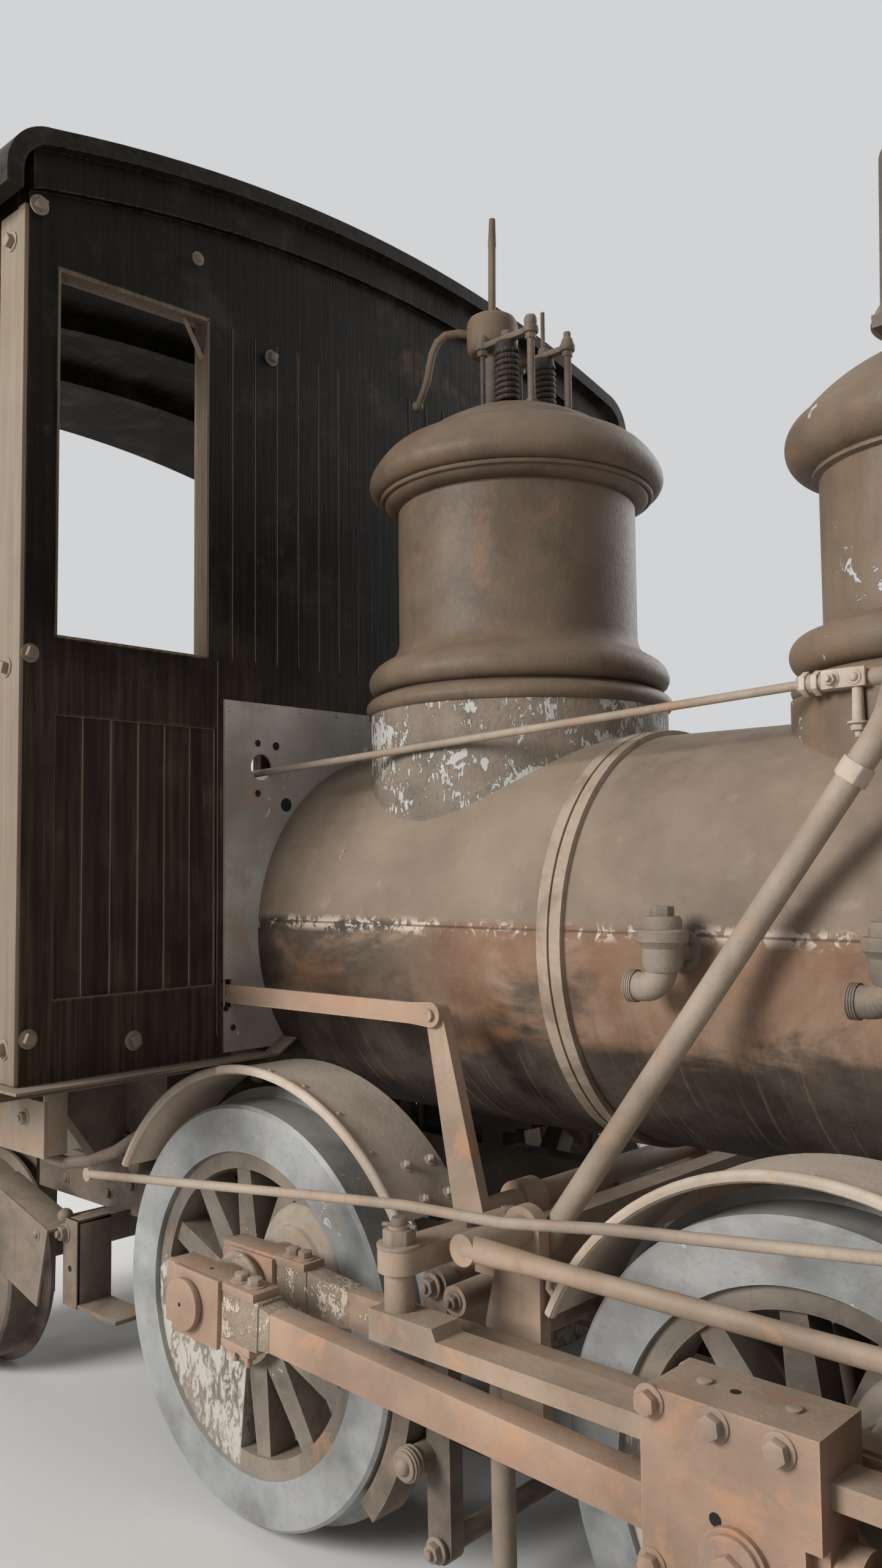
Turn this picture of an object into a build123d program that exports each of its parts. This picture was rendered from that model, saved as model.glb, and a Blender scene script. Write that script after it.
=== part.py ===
# Narrow-gauge steam locomotive with a wooden cab, four coupled wheels and a trailing pair.
# Millimetres. +X is forward, +Z is up, and Z is 0 at the lowest point of the wheel flanges.
import os
from math import asin, cos, degrees, radians, sin, sqrt

from build123d import *

os.makedirs("parts", exist_ok=True)

# Each side of the engine: its name, and the sign of its Y.
SIDES = (("right", -1), ("left", 1))

# Wheels and axles
TREAD_R, TRAIL_TREAD_R, FLANGE_DEPTH = 483.0, 305.0, 25.0
REAR_X, WHEEL_BASE, TRAIL_BASE = -650.0, 1434.0, 1430.0
AXLE_R, TRAIL_AXLE_R, RUNNING_GAP = 75.0, 60.0, 0.1
TYRE_BACK, TYRE_WIDTH, TYRE_THICK = 440.0, 140.0, 112.0
FLANGE_WIDTH, FLANGE_TIP, TREAD_FALL, TYRE_EDGE = 32.0, 10.0, 4.0, 8.0
RIM_DEPTH, RIM_SET, SPOKE_SET, SPOKE_THICK = 42.0, 14.0, 40.0, 75.0
SPOKES, SPOKE_ROOT, SPOKE_TIP = 12, 72.0, 48.0
HUB_R, HUB_GAP, BOSS_R, BOSS_PROUD = 115.0, 20.0, 95.0, 20.0
WEIGHT_ANGLE, WEIGHT_DEPTH = 47.0, 21.0
TRAIL_HUB_R, TRAIL_WEB, TRAIL_HOLE_R, TRAIL_HOLES = 95.0, 26.0, 34.0, 6

# Cranks and rods. The left side leads the right by a quarter turn.
THROW, ROD_LENGTH, CYLINDER_RISE = 240.0, 1288.0, 97.0
CRANK_ANGLE = {-1: 36.8699, 1: 126.8699}
PIN_R, PIN_SHOULDER, PIN_SHOULDER_LENGTH, PIN_PROUD, WRIST_R = 50.0, 14.0, 40.0, 7.0, 28.0
SIDE_ROD_SPACE, SIDE_ROD_WIDTH, SIDE_ROD_DEPTH, SIDE_ROD_BAR = 55.0, 80.0, 84.0, 48.0
SIDE_HEAD_LENGTH, SIDE_HEAD_DEPTH, SIDE_ROOT_DEPTH, SIDE_TAPER = 190.0, 165.0, 120.0, 330.0
SIDE_STRAP_LENGTH, SIDE_STRAP_THICK = 320.0, 15.0
STUB_GAP, STUB_LENGTH = 8.0, 55.0
MAIN_ROD_WIDTH, MAIN_ROD_BAR, MAIN_ROOT_DEPTH, MAIN_TIP_DEPTH = 70.0, 52.0, 80.0, 68.0
STRAP_BACK, STRAP_LENGTH, STRAP_DEPTH, STRAP_CORNER = 85.0, 280.0, 156.0, 16.0
PAD_START, PAD_LENGTH, PAD_DEPTH = 72.0, 124.0, 190.0
CHEEK_LENGTH, CHEEK_DEPTH, CHEEK_THICK, COLLAR_R, COLLAR_THICK = 126.0, 176.0, 10.0, 53.0, 16.0
SMALL_EYE_R = 46.0

# Frames
FRAME_SPACE, FRAME_THICK, RAIL_DEPTH, RAIL_RISE = 35.0, 75.0, 90.0, 232.0
TAIL, NOSE = 520.0, 300.0
JAW_TOP, JAW_FOOT, BINDER_DROP, BINDER_DEPTH = 180.0, 150.0, 208.0, 50.0
TRAIL_JAW, TRAIL_FOOT = 140.0, 130.0
BRACE_DEPTH = 50.0

# Crossheads and guides
CROSSHEAD_SPACE, PLATE_THICK, PLATE_LENGTH, PLATE_HEIGHT = 84.0, 22.0, 254.0, 278.0
PLATE_BEHIND, PLATE_BELOW, SLAB_DEPTH = 151.0, 75.0, 51.0
NOSE_THICK, NOSE_UPPER, ROD_BOSS_R, ROD_BOSS_LENGTH = 24.0, 146.0, 52.0, 38.0
GUIDE_WIDTH, GUIDE_DEPTH, GUIDE_RISE, GUIDE_REAR, SLIDE_GAP = 70.0, 35.0, 107.0, 80.0, 1.0
GUIDE_BLOCK_LENGTH, GUIDE_BLOCK_DEPTH, GUIDE_POST_X, GUIDE_POST_R = 155.0, 20.0, 125.0, 28.0
GUIDE_POST_HEIGHT, GUIDE_ARM_THICK, GUIDE_STUD_R, YOKE_HALF, YOKE_THICK = 68.0, 43.0, 20.0, 600.0, 60.0

# Cylinders
CYLINDER_R, COVER_R, CYLINDER_LENGTH, COVER_THICK = 215.0, 225.0, 700.0, 30.0
GLAND_CLEAR, GLAND_LENGTH, GLAND_R, PISTON_ROD_R = 17.0, 70.0, 70.0, 32.0
CHEST_LENGTH, CHEST_IN, CHEST_OUT, CHEST_LOW, CHEST_HEIGHT = 500.0, 150.0, 160.0, 155.0, 250.0
LID_LIP, LID_THICK, SADDLE_LENGTH = 15.0, 25.0, 400.0

# Boiler
BOILER_RISE, BARREL_REAR_R, BARREL_FRONT_R, LAP_X = 888.0, 466.0, 459.0, 217.0
FIREBOX_BACK, FIREBOX_LENGTH, FIREBOX_HALF, GRATE_DROP = -1850.0, 660.0, 430.0, 180.0
BAND_WIDTH, BAND_THICK, BAND_PITCH = 27.0, 5.0, 33.0
SMOKEBOX_R, SMOKEBOX_BEHIND, SMOKEBOX_AHEAD, RING_THICK, RING_WIDTH = 475.0, 280.0, 420.0, 8.0, 60.0
DOOR_R, DOOR_THICK, DOOR_DISH = 370.0, 24.0, 40.0
DOOR_HINGE_Y, HINGE_PIN_R, HINGE_R, HINGE_HEIGHT, HINGE_PLAY = 400.0, 7.0, 14.0, 80.0, 2.0
FIRE_DOOR_X, FIRE_DOOR_Y = 22.0, 165.0
CHIMNEY_BASE_R, CHIMNEY_R, CHIMNEY_CAP_R, CHIMNEY_WALL, CHIMNEY_TOP = 240.0, 160.0, 205.0, 25.0, 1894.0

# Domes
STEAM_DOME_X, STEAM_DOME_R, SADDLE_R, SADDLE_RISE = -260.0, 307.0, 380.0, 584.0
SAND_DOME_X, SAND_DOME_R, SAND_SADDLE_R, SAND_SADDLE_RISE = 850.0, 250.0, 318.0, 487.0
BEAD_R, STEAM_BASE_R, STEAM_RIM_R, SAND_BASE_R, SAND_RIM_R = 22.0, 50.0, 70.0, 42.0, 58.0
STEAM_BARREL, SAND_BARREL, STEAM_CAP_RISE, SAND_CAP_RISE = 545.0, 522.0, 184.0, 120.0
STEAM_FLAT_R, SAND_FLAT_R = 150.0, 110.0
VALVE_PITCH, VALVE_AHEAD, STUD_PITCH, SPRING_R, SPRING_HEIGHT = 210.0, 25.0, 140.0, 29.0, 105.0
WHISTLE_BACK, WHISTLE_R = 80.0, 70.0

# Cab
CAB_FRONT, CAB_LENGTH, CAB_HALF, WALL = -750.0, 1730.0, 1112.0, 50.0
FLOOR_RISE, FLOOR_THICK, FLOOR_HALF, SILL_RISE, BELT_DEPTH = 552.0, 35.0, 1150.0, 985.0, 171.0
WINDOW_WIDTH, WINDOW_HEIGHT, WINDOW_SLOPE, POST = 419.0, 856.0, 17.0, 73.0
SIDE_WINDOW, SIDE_PIER, SIDE_POST = 690.0, 80.0, 120.0
BOARD_RISE, PANEL_DEPTH, GROOVE, BOARDS = 177.0, 12.0, 4.0, 6
EAVE_OVERHANG, ROOF_THICK, ROOF_CROWN, EAVE_DEPTH, EAVE_CORNER = 78.0, 40.0, 135.0, 125.0, 110.0
EAVE_LIP, SHOULDER_RISE, ROOF_AHEAD, ROOF_BEHIND = 40.0, 2130.0, 45.0, 160.0
RIB_DEPTH, RIB_WIDTH, RIBS, CORNICE_DEPTH, CORNICE_THICK = 60.0, 45.0, 3, 90.0, 18.0
PLATE_HALF, PLATE_LOW, PLATE_HIGH, CAB_PLATE_THICK = 572.0, 11.0, 888.0, 6.0
REACH_ROD_Y, REACH_ROD_THICK, REACH_ROD_DEPTH, REACH_ROD_RISE, SLOT_GAP = 554.0, 12.0, 44.0, 155.0, 4.0
SAND_ROD_Y, SAND_ROD_R, SAND_ROD_HOLE_R = 310.0, 9.0, 34.0

# Fenders: how far ahead of the axle, how far below it, over the flange, first angle, last angle.
FENDERS = (("rear", 75.0, 8.0, 80.0, 34.0, 150.0), ("front", 26.0, 3.0, 52.0, 25.0, 155.0))
FENDER_IN, FENDER_WIDTH, FENDER_THICK, BEAD_WIDTH = 425.0, 215.0, 6.0, 22.0

# Heights that follow from the wheels and the boiler
AXLE_Z = TREAD_R + FLANGE_DEPTH
TRAIL_Z = TRAIL_TREAD_R + FLANGE_DEPTH
WRIST_Z = AXLE_Z + CYLINDER_RISE
RAIL_TOP = AXLE_Z + RAIL_RISE
RAIL_LOW = RAIL_TOP - RAIL_DEPTH
BOILER_Z = AXLE_Z + BOILER_RISE
FLOOR_LOW = AXLE_Z + FLOOR_RISE
CAB_LOW = FLOOR_LOW + FLOOR_THICK
SILL = CAB_LOW + SILL_RISE
SHOULDER_Z = CAB_LOW + SHOULDER_RISE
GUIDE_LOW = WRIST_Z + GUIDE_RISE
GUIDE_TOP = GUIDE_LOW + GUIDE_DEPTH

# Places along the engine
FRONT_X = REAR_X + WHEEL_BASE
TRAIL_X = REAR_X - TRAIL_BASE
PLATE_FRONT = PLATE_LENGTH - PLATE_BEHIND
GLAND_BACK = REAR_X + ROD_LENGTH + THROW + PLATE_FRONT + NOSE_THICK + ROD_BOSS_LENGTH + GLAND_CLEAR
CYLINDER_BACK = GLAND_BACK + GLAND_LENGTH
CYLINDER_FRONT = CYLINDER_BACK + CYLINDER_LENGTH
CYLINDER_X = (CYLINDER_BACK + CYLINDER_FRONT) / 2
SMOKEBOX_BACK = CYLINDER_X - SMOKEBOX_BEHIND
SMOKEBOX_FRONT = CYLINDER_X + SMOKEBOX_AHEAD
FIREBOX_FRONT = FIREBOX_BACK + FIREBOX_LENGTH
FRAME_BACK = TRAIL_X - TAIL
FRAME_FRONT = SMOKEBOX_FRONT + NOSE
CAB_BACK = CAB_FRONT - CAB_LENGTH

# Places across the engine, outward from the middle
FRAME_OUT = TYRE_BACK - FRAME_SPACE
FRAME_IN = FRAME_OUT - FRAME_THICK
HUB_BACK = FRAME_OUT + HUB_GAP
TYRE_FACE = TYRE_BACK + TYRE_WIDTH
TYRE_INNER_R = TREAD_R - TYRE_THICK
FLANGE_R = TREAD_R + FLANGE_DEPTH
BOSS_FACE = TYRE_FACE + BOSS_PROUD
SIDE_ROD_IN = BOSS_FACE + SIDE_ROD_SPACE
SIDE_ROD_OUT = SIDE_ROD_IN + SIDE_ROD_WIDTH
PIN_END = SIDE_ROD_OUT + PIN_PROUD
MAIN_ROD_IN = PIN_END + STUB_GAP + STUB_LENGTH
MAIN_ROD_OUT = MAIN_ROD_IN + MAIN_ROD_WIDTH
CYLINDER_Y = MAIN_ROD_IN + MAIN_ROD_WIDTH / 2
GUIDE_IN = CYLINDER_Y - GUIDE_WIDTH / 2
GUIDE_OUT = CYLINDER_Y + GUIDE_WIDTH / 2
PLATE_IN = CYLINDER_Y - CROSSHEAD_SPACE / 2
PLATE_OUT = CYLINDER_Y + CROSSHEAD_SPACE / 2
ROOF_HALF = CAB_HALF + EAVE_OVERHANG


def side_plane(sign, inner):
    """Plane facing the near side, for a shape that starts at this distance from the middle."""
    return Plane.XZ.offset(inner if sign < 0 else -inner)


def outward(sign, length):
    """Extrusion length that runs away from the middle on either side."""
    return length if sign < 0 else -length


def box(x0, x1, y0, y1, z0, z1, mode=Mode.ADD):
    """A box between the given faces."""
    with Locations(((x0 + x1) / 2, (y0 + y1) / 2, (z0 + z1) / 2)):
        Box(abs(x1 - x0), abs(y1 - y0), abs(z1 - z0), mode=mode)


def bar(start, end, radius, mode=Mode.ADD):
    """A round bar from one point to another."""
    run = Vector(*end) - Vector(*start)
    with BuildSketch(Plane(origin=start, z_dir=run)) as section:
        Circle(radius)
    extrude(section.sketch, amount=run.length, mode=mode)


def cross_shaft(x, z, radius, y0, y1, mode=Mode.ADD):
    """A round bar along Y between two distances from the middle."""
    bar((x, y0, z), (x, y1, z), radius, mode)


def turned(x, y, profile):
    """A solid turned about the vertical line through x, y, from radius and height pairs."""
    with BuildSketch(Plane(origin=(x, y, 0), x_dir=(1, 0, 0), z_dir=(0, -1, 0))) as section:
        with BuildLine():
            Polyline(*profile, close=True)
        make_face()
    revolve(section.sketch, axis=Axis((x, y, 0), (0, 0, 1)))


def turned_along(y, z, profile):
    """A solid turned about the line along X through y, z, from X and radius pairs."""
    with BuildSketch(Plane(origin=(0, y, z), x_dir=(1, 0, 0), z_dir=(0, -1, 0))) as section:
        with BuildLine():
            Polyline(*profile, close=True)
        make_face()
    revolve(section.sketch, axis=Axis((0, y, z), (1, 0, 0)))


def tube(points, radius, bend):
    """A round pipe along straight runs that are joined by bends."""
    with BuildLine() as path:
        FilletPolyline(*points, radius=bend)
    wire = path.wires()[0]
    with BuildSketch(Plane(origin=wire @ 0, z_dir=wire % 0)) as section:
        Circle(radius)
    sweep(section.sketch, path=wire)


def cap(x, edge_r, edge_z, top_r, top_z, bulge):
    """A crowned cap turned about the vertical line at x, from its edge up to its flat top."""
    run_r, run_z = top_r - edge_r, top_z - edge_z
    length = sqrt(run_r**2 + run_z**2)
    crown = ((edge_r + top_r) / 2 + bulge * run_z / length, (edge_z + top_z) / 2 - bulge * run_r / length)
    with BuildSketch(Plane(origin=(x, 0, 0), x_dir=(1, 0, 0), z_dir=(0, -1, 0))) as section:
        with BuildLine():
            Line((0, edge_z), (edge_r, edge_z))
            ThreePointArc((edge_r, edge_z), crown, (top_r, top_z))
            Line((top_r, top_z), (0, top_z))
            Line((0, top_z), (0, edge_z))
        make_face()
    revolve(section.sketch, axis=Axis((x, 0, 0), (0, 0, 1)))


def moulding(x, z, ring_r, bead_r):
    """A half-round moulding round a dome."""
    with Locations((x, 0, z)):
        Torus(ring_r, bead_r)


def arc_band(sign, centre, r_in, r_out, first, last, inner, width):
    """A curved band seen from the side, between two radii and two angles."""
    angles = [radians(a) for a in (first, (first + last) / 2, last)]
    outer = [(centre[0] + r_out * cos(a), centre[1] + r_out * sin(a)) for a in angles]
    inside = [(centre[0] + r_in * cos(a), centre[1] + r_in * sin(a)) for a in angles]
    with BuildSketch(side_plane(sign, inner)) as section:
        with BuildLine():
            ThreePointArc(*outer)
            Line(outer[2], inside[2])
            ThreePointArc(*reversed(inside))
            Line(inside[0], outer[0])
        make_face()
    extrude(section.sketch, amount=outward(sign, width))


def link(sign, inner, width, *eyes):
    """A tapered flat link round two eyes, each given by x, z and radius."""
    with BuildSketch(side_plane(sign, inner)) as section:
        for x, z, radius in eyes:
            with Locations((x, z)):
                Circle(radius)
        make_hull()
    extrude(section.sketch, amount=outward(sign, width))


def barrel_cut(x0, x1, radius):
    """Cuts the seat of a piece that stands on the boiler."""
    bar((x0, 0, BOILER_Z), (x1, 0, BOILER_Z), radius, Mode.SUBTRACT)


def knuckle(x, y, z, height):
    """The moving half of a hinge: a barrel bored for its pin."""
    bar((x, y, z), (x, y, z + height), HINGE_R)
    bar((x, y, z), (x, y, z + height), HINGE_PIN_R + RUNNING_GAP, Mode.SUBTRACT)


def lugs(x, y, z, height, back):
    """The fixed half of a hinge: a lug above and below the knuckle, and the pin through both."""
    lug = HINGE_R + 8
    for low in (z - HINGE_PLAY - lug, z + height + HINGE_PLAY):
        box(min(x, back), max(x, back), y - HINGE_R, y + HINGE_R, low, low + lug)
        bar((x, y, low), (x, y, low + lug), HINGE_R)
    bar((x, y, z - HINGE_PLAY - lug), (x, y, z + height + HINGE_PLAY + lug), HINGE_PIN_R)


def save(builder, name):
    """Label a finished piece and write its file."""
    builder.part.label = name
    export_step(builder.part, f"parts/{name}.step")


# Frames
BRACE_START = FRONT_X + JAW_FOOT - 20
BRACE_END = CYLINDER_FRONT - 230
BRACE_LOW = AXLE_Z - BINDER_DROP
BRACE = (
    (BRACE_START, BRACE_LOW),
    (BRACE_END, RAIL_LOW),
    (BRACE_END - 2 * BRACE_DEPTH, RAIL_LOW),
    (BRACE_START, BRACE_LOW + BRACE_DEPTH),
)
for side, sign in SIDES:
    with BuildPart() as frame:
        with BuildSketch(side_plane(sign, FRAME_IN)):
            with Locations(((FRAME_BACK + FRAME_FRONT) / 2, RAIL_TOP - RAIL_DEPTH / 2)):
                Rectangle(FRAME_FRONT - FRAME_BACK, RAIL_DEPTH)
            for axle_x, axle_z, top, foot, drop, reach in (
                (REAR_X, AXLE_Z, JAW_TOP, JAW_FOOT, BINDER_DROP, AXLE_R),
                (FRONT_X, AXLE_Z, JAW_TOP, JAW_FOOT, BINDER_DROP, AXLE_R),
                (TRAIL_X, TRAIL_Z, TRAIL_JAW, TRAIL_FOOT, TRAIL_FOOT, TRAIL_AXLE_R),
            ):
                Polygon(
                    (axle_x - top, RAIL_LOW), (axle_x - foot, axle_z - drop),
                    (axle_x + foot, axle_z - drop), (axle_x + top, RAIL_LOW), align=None,
                )
                with Locations((axle_x, axle_z)):
                    Circle(reach + RUNNING_GAP, mode=Mode.SUBTRACT)
            with Locations(((REAR_X + FRONT_X) / 2, AXLE_Z - BINDER_DROP + BINDER_DEPTH / 2)):
                Rectangle(WHEEL_BASE, BINDER_DEPTH)
            with BuildLine():
                Polyline(*BRACE, close=True)
            make_face()
        extrude(amount=outward(sign, FRAME_THICK))
    save(frame, f"frame_{side}")

# Wheels
WEB_BACK = TYRE_BACK + SPOKE_SET
RIM_R = TYRE_INNER_R - RIM_DEPTH
for name, axle_x in (("rear", REAR_X), ("front", FRONT_X)):
    with BuildPart() as wheelset:
        cross_shaft(axle_x, AXLE_Z, AXLE_R, -BOSS_FACE, BOSS_FACE)
        for side, sign in SIDES:
            angle = radians(CRANK_ANGLE[sign])
            pin_x, pin_z = axle_x + THROW * cos(angle), AXLE_Z + THROW * sin(angle)
            cross_shaft(axle_x, AXLE_Z, HUB_R, sign * HUB_BACK, sign * (BOSS_FACE - BOSS_PROUD / 2))
            with BuildSketch(side_plane(sign, TYRE_BACK + RIM_SET)) as rim:
                with Locations((axle_x, AXLE_Z)):
                    Circle(TYRE_INNER_R)
                    Circle(RIM_R, mode=Mode.SUBTRACT)
            extrude(rim.sketch, amount=outward(sign, TYRE_WIDTH - 2 * RIM_SET))
            with BuildSketch(side_plane(sign, WEB_BACK)) as spokes:
                with Locations((axle_x, AXLE_Z)):
                    with PolarLocations(0, SPOKES, start_angle=CRANK_ANGLE[sign]):
                        Polygon(
                            (AXLE_R, -SPOKE_ROOT / 2), (RIM_R + RIM_DEPTH / 4, -SPOKE_TIP / 2),
                            (RIM_R + RIM_DEPTH / 4, SPOKE_TIP / 2), (AXLE_R, SPOKE_ROOT / 2), align=None,
                        )
            extrude(spokes.sketch, amount=outward(sign, SPOKE_THICK))
            link(sign, WEB_BACK, BOSS_FACE - WEB_BACK, (axle_x, AXLE_Z, BOSS_R), (pin_x, pin_z, BOSS_R))
            middle = CRANK_ANGLE[sign] + 180
            arc_band(
                sign, (axle_x, AXLE_Z), HUB_R + RIM_DEPTH / 2, RIM_R + RIM_DEPTH / 2, middle - WEIGHT_ANGLE,
                middle + WEIGHT_ANGLE, WEB_BACK - WEIGHT_DEPTH / 2, SPOKE_THICK + WEIGHT_DEPTH,
            )
            cross_shaft(pin_x, pin_z, PIN_R, sign * BOSS_FACE, sign * PIN_END)
            cross_shaft(
                pin_x, pin_z, PIN_R + PIN_SHOULDER, sign * BOSS_FACE,
                sign * (BOSS_FACE + PIN_SHOULDER_LENGTH),
            )
    save(wheelset, f"{name}_wheels")


def tyre_outline(sign, tread, inner):
    """Closed line of a flanged tyre's section, as distances from the middle and from the axle."""
    flange = tread + FLANGE_DEPTH
    return Polyline(
        (sign * TYRE_BACK, inner),
        (sign * TYRE_BACK, flange - TYRE_EDGE),
        (sign * (TYRE_BACK + TYRE_EDGE), flange),
        (sign * (TYRE_BACK + TYRE_EDGE + FLANGE_TIP), flange),
        (sign * (TYRE_BACK + FLANGE_WIDTH), tread + TREAD_FALL / 2),
        (sign * (TYRE_FACE - TYRE_EDGE), tread - TREAD_FALL / 2),
        (sign * TYRE_FACE, tread - TREAD_FALL / 2 - TYRE_EDGE),
        (sign * TYRE_FACE, inner),
        close=True,
    )


for name, axle_x in (("rear", REAR_X), ("front", FRONT_X)):
    for side, sign in SIDES:
        with BuildPart() as tyre:
            with BuildSketch(Plane(origin=(axle_x, 0, AXLE_Z), x_dir=(0, 1, 0), z_dir=(1, 0, 0))) as section:
                with BuildLine():
                    tyre_outline(sign, TREAD_R, TYRE_INNER_R)
                make_face()
            revolve(section.sketch, axis=Axis((axle_x, 0, AXLE_Z), (0, 1, 0)))
        save(tyre, f"{name}_tyre_{side}")

with BuildPart() as trailing:
    cross_shaft(TRAIL_X, TRAIL_Z, TRAIL_AXLE_R, -TYRE_FACE, TYRE_FACE)
    for side, sign in SIDES:
        inner = TRAIL_TREAD_R - TYRE_THICK + RIM_SET
        middle = (TYRE_BACK + TYRE_FACE) / 2
        with BuildSketch(Plane(origin=(TRAIL_X, 0, TRAIL_Z), x_dir=(0, 1, 0), z_dir=(1, 0, 0))) as section:
            with BuildLine():
                tyre_outline(sign, TRAIL_TREAD_R, inner)
            make_face()
        revolve(section.sketch, axis=Axis((TRAIL_X, 0, TRAIL_Z), (0, 1, 0)))
        cross_shaft(TRAIL_X, TRAIL_Z, TRAIL_HUB_R, sign * HUB_BACK, sign * TYRE_FACE)
        with BuildSketch(side_plane(sign, middle - TRAIL_WEB)) as web:
            with Locations((TRAIL_X, TRAIL_Z)):
                Circle(inner + RIM_SET)
                with PolarLocations((TRAIL_HUB_R + inner) / 2, TRAIL_HOLES):
                    Circle(TRAIL_HOLE_R, mode=Mode.SUBTRACT)
        extrude(web.sketch, amount=outward(sign, 2 * TRAIL_WEB))
save(trailing, "trailing_wheels")

# Rods
for side, sign in SIDES:
    angle = radians(CRANK_ANGLE[sign])
    pin_x, pin_z = REAR_X + THROW * cos(angle), AXLE_Z + THROW * sin(angle)
    root, waist = SIDE_ROOT_DEPTH / 2, SIDE_ROD_DEPTH / 2
    with BuildPart() as side_rod:
        with BuildSketch(side_plane(sign, SIDE_ROD_IN)) as heads:
            with Locations((pin_x, pin_z), (pin_x + WHEEL_BASE, pin_z)):
                RectangleRounded(SIDE_HEAD_LENGTH, SIDE_HEAD_DEPTH, STRAP_CORNER)
        extrude(heads.sketch, amount=outward(sign, SIDE_ROD_WIDTH))
        with BuildSketch(side_plane(sign, SIDE_ROD_IN + PIN_SHOULDER)) as rod_body:
            with BuildLine():
                Polyline(
                    (pin_x, pin_z - root), (pin_x + SIDE_TAPER, pin_z - waist),
                    (pin_x + WHEEL_BASE - SIDE_TAPER, pin_z - waist), (pin_x + WHEEL_BASE, pin_z - root),
                    (pin_x + WHEEL_BASE, pin_z + root), (pin_x + WHEEL_BASE - SIDE_TAPER, pin_z + waist),
                    (pin_x + SIDE_TAPER, pin_z + waist), (pin_x, pin_z + root), close=True,
                )
            make_face()
        extrude(rod_body.sketch, amount=outward(sign, SIDE_ROD_BAR))
        strap_y = SIDE_ROD_IN + PIN_SHOULDER
        for start, way in ((pin_x, 1), (pin_x + WHEEL_BASE, -1)):
            tail = start + way * (SIDE_STRAP_LENGTH - SIDE_HEAD_LENGTH / 2)
            for z in (pin_z - SIDE_HEAD_DEPTH / 2, pin_z + SIDE_HEAD_DEPTH / 2 - SIDE_STRAP_THICK):
                box(start, tail, sign * strap_y, sign * (strap_y + SIDE_ROD_BAR), z, z + SIDE_STRAP_THICK)
            block = start + way * (SIDE_STRAP_LENGTH - SIDE_HEAD_LENGTH)
            box(
                start, block, sign * strap_y, sign * (strap_y + SIDE_ROD_BAR),
                pin_z - SIDE_HEAD_DEPTH / 2, pin_z + SIDE_HEAD_DEPTH / 2,
            )
        for x in (pin_x, pin_x + WHEEL_BASE):
            cross_shaft(x, pin_z, PIN_R + RUNNING_GAP, sign * BOSS_FACE, sign * MAIN_ROD_IN, Mode.SUBTRACT)
    save(side_rod, f"side_rod_{side}")

    wrist_x = pin_x + sqrt(ROD_LENGTH**2 - (pin_z - WRIST_Z) ** 2)
    along = Vector(wrist_x - pin_x, 0, WRIST_Z - pin_z)

    def rod_plane(inner):
        """Plane on the main rod's own line, from the crankpin forward."""
        return Plane(origin=(pin_x, sign * inner, pin_z), x_dir=along, z_dir=(0, -1, 0))

    with BuildPart() as main_rod:
        with BuildSketch(rod_plane(MAIN_ROD_IN)) as strap:
            with Locations((STRAP_LENGTH / 2 - STRAP_BACK, 0)):
                RectangleRounded(STRAP_LENGTH, STRAP_DEPTH, STRAP_CORNER)
            with Locations((PAD_START + PAD_LENGTH / 2, 0)):
                Rectangle(PAD_LENGTH, PAD_DEPTH)
        extrude(strap.sketch, amount=outward(sign, MAIN_ROD_WIDTH))
        with BuildSketch(rod_plane(MAIN_ROD_OUT)) as cheek:
            with Locations((PAD_START - STRAP_CORNER - CHEEK_LENGTH / 2, 0)):
                RectangleRounded(CHEEK_LENGTH, CHEEK_DEPTH, STRAP_CORNER / 4)
        extrude(cheek.sketch, amount=outward(sign, CHEEK_THICK))
        with BuildSketch(rod_plane(MAIN_ROD_IN + (MAIN_ROD_WIDTH - MAIN_ROD_BAR) / 2)) as rod_body:
            with BuildLine():
                Polyline(
                    (STRAP_LENGTH / 2, -MAIN_ROOT_DEPTH / 2), (ROD_LENGTH, -MAIN_TIP_DEPTH / 2),
                    (ROD_LENGTH, MAIN_TIP_DEPTH / 2), (STRAP_LENGTH / 2, MAIN_ROOT_DEPTH / 2), close=True,
                )
            make_face()
            with Locations((ROD_LENGTH, 0)):
                Circle(SMALL_EYE_R)
                Circle(WRIST_R, mode=Mode.SUBTRACT)
        extrude(rod_body.sketch, amount=outward(sign, MAIN_ROD_BAR))
        collar = MAIN_ROD_OUT + CHEEK_THICK
        cross_shaft(pin_x, pin_z, PIN_R, sign * (PIN_END + STUB_GAP), sign * MAIN_ROD_IN)
        cross_shaft(pin_x, pin_z, COLLAR_R, sign * collar, sign * (collar + COLLAR_THICK))
    save(main_rod, f"main_rod_{side}")

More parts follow.
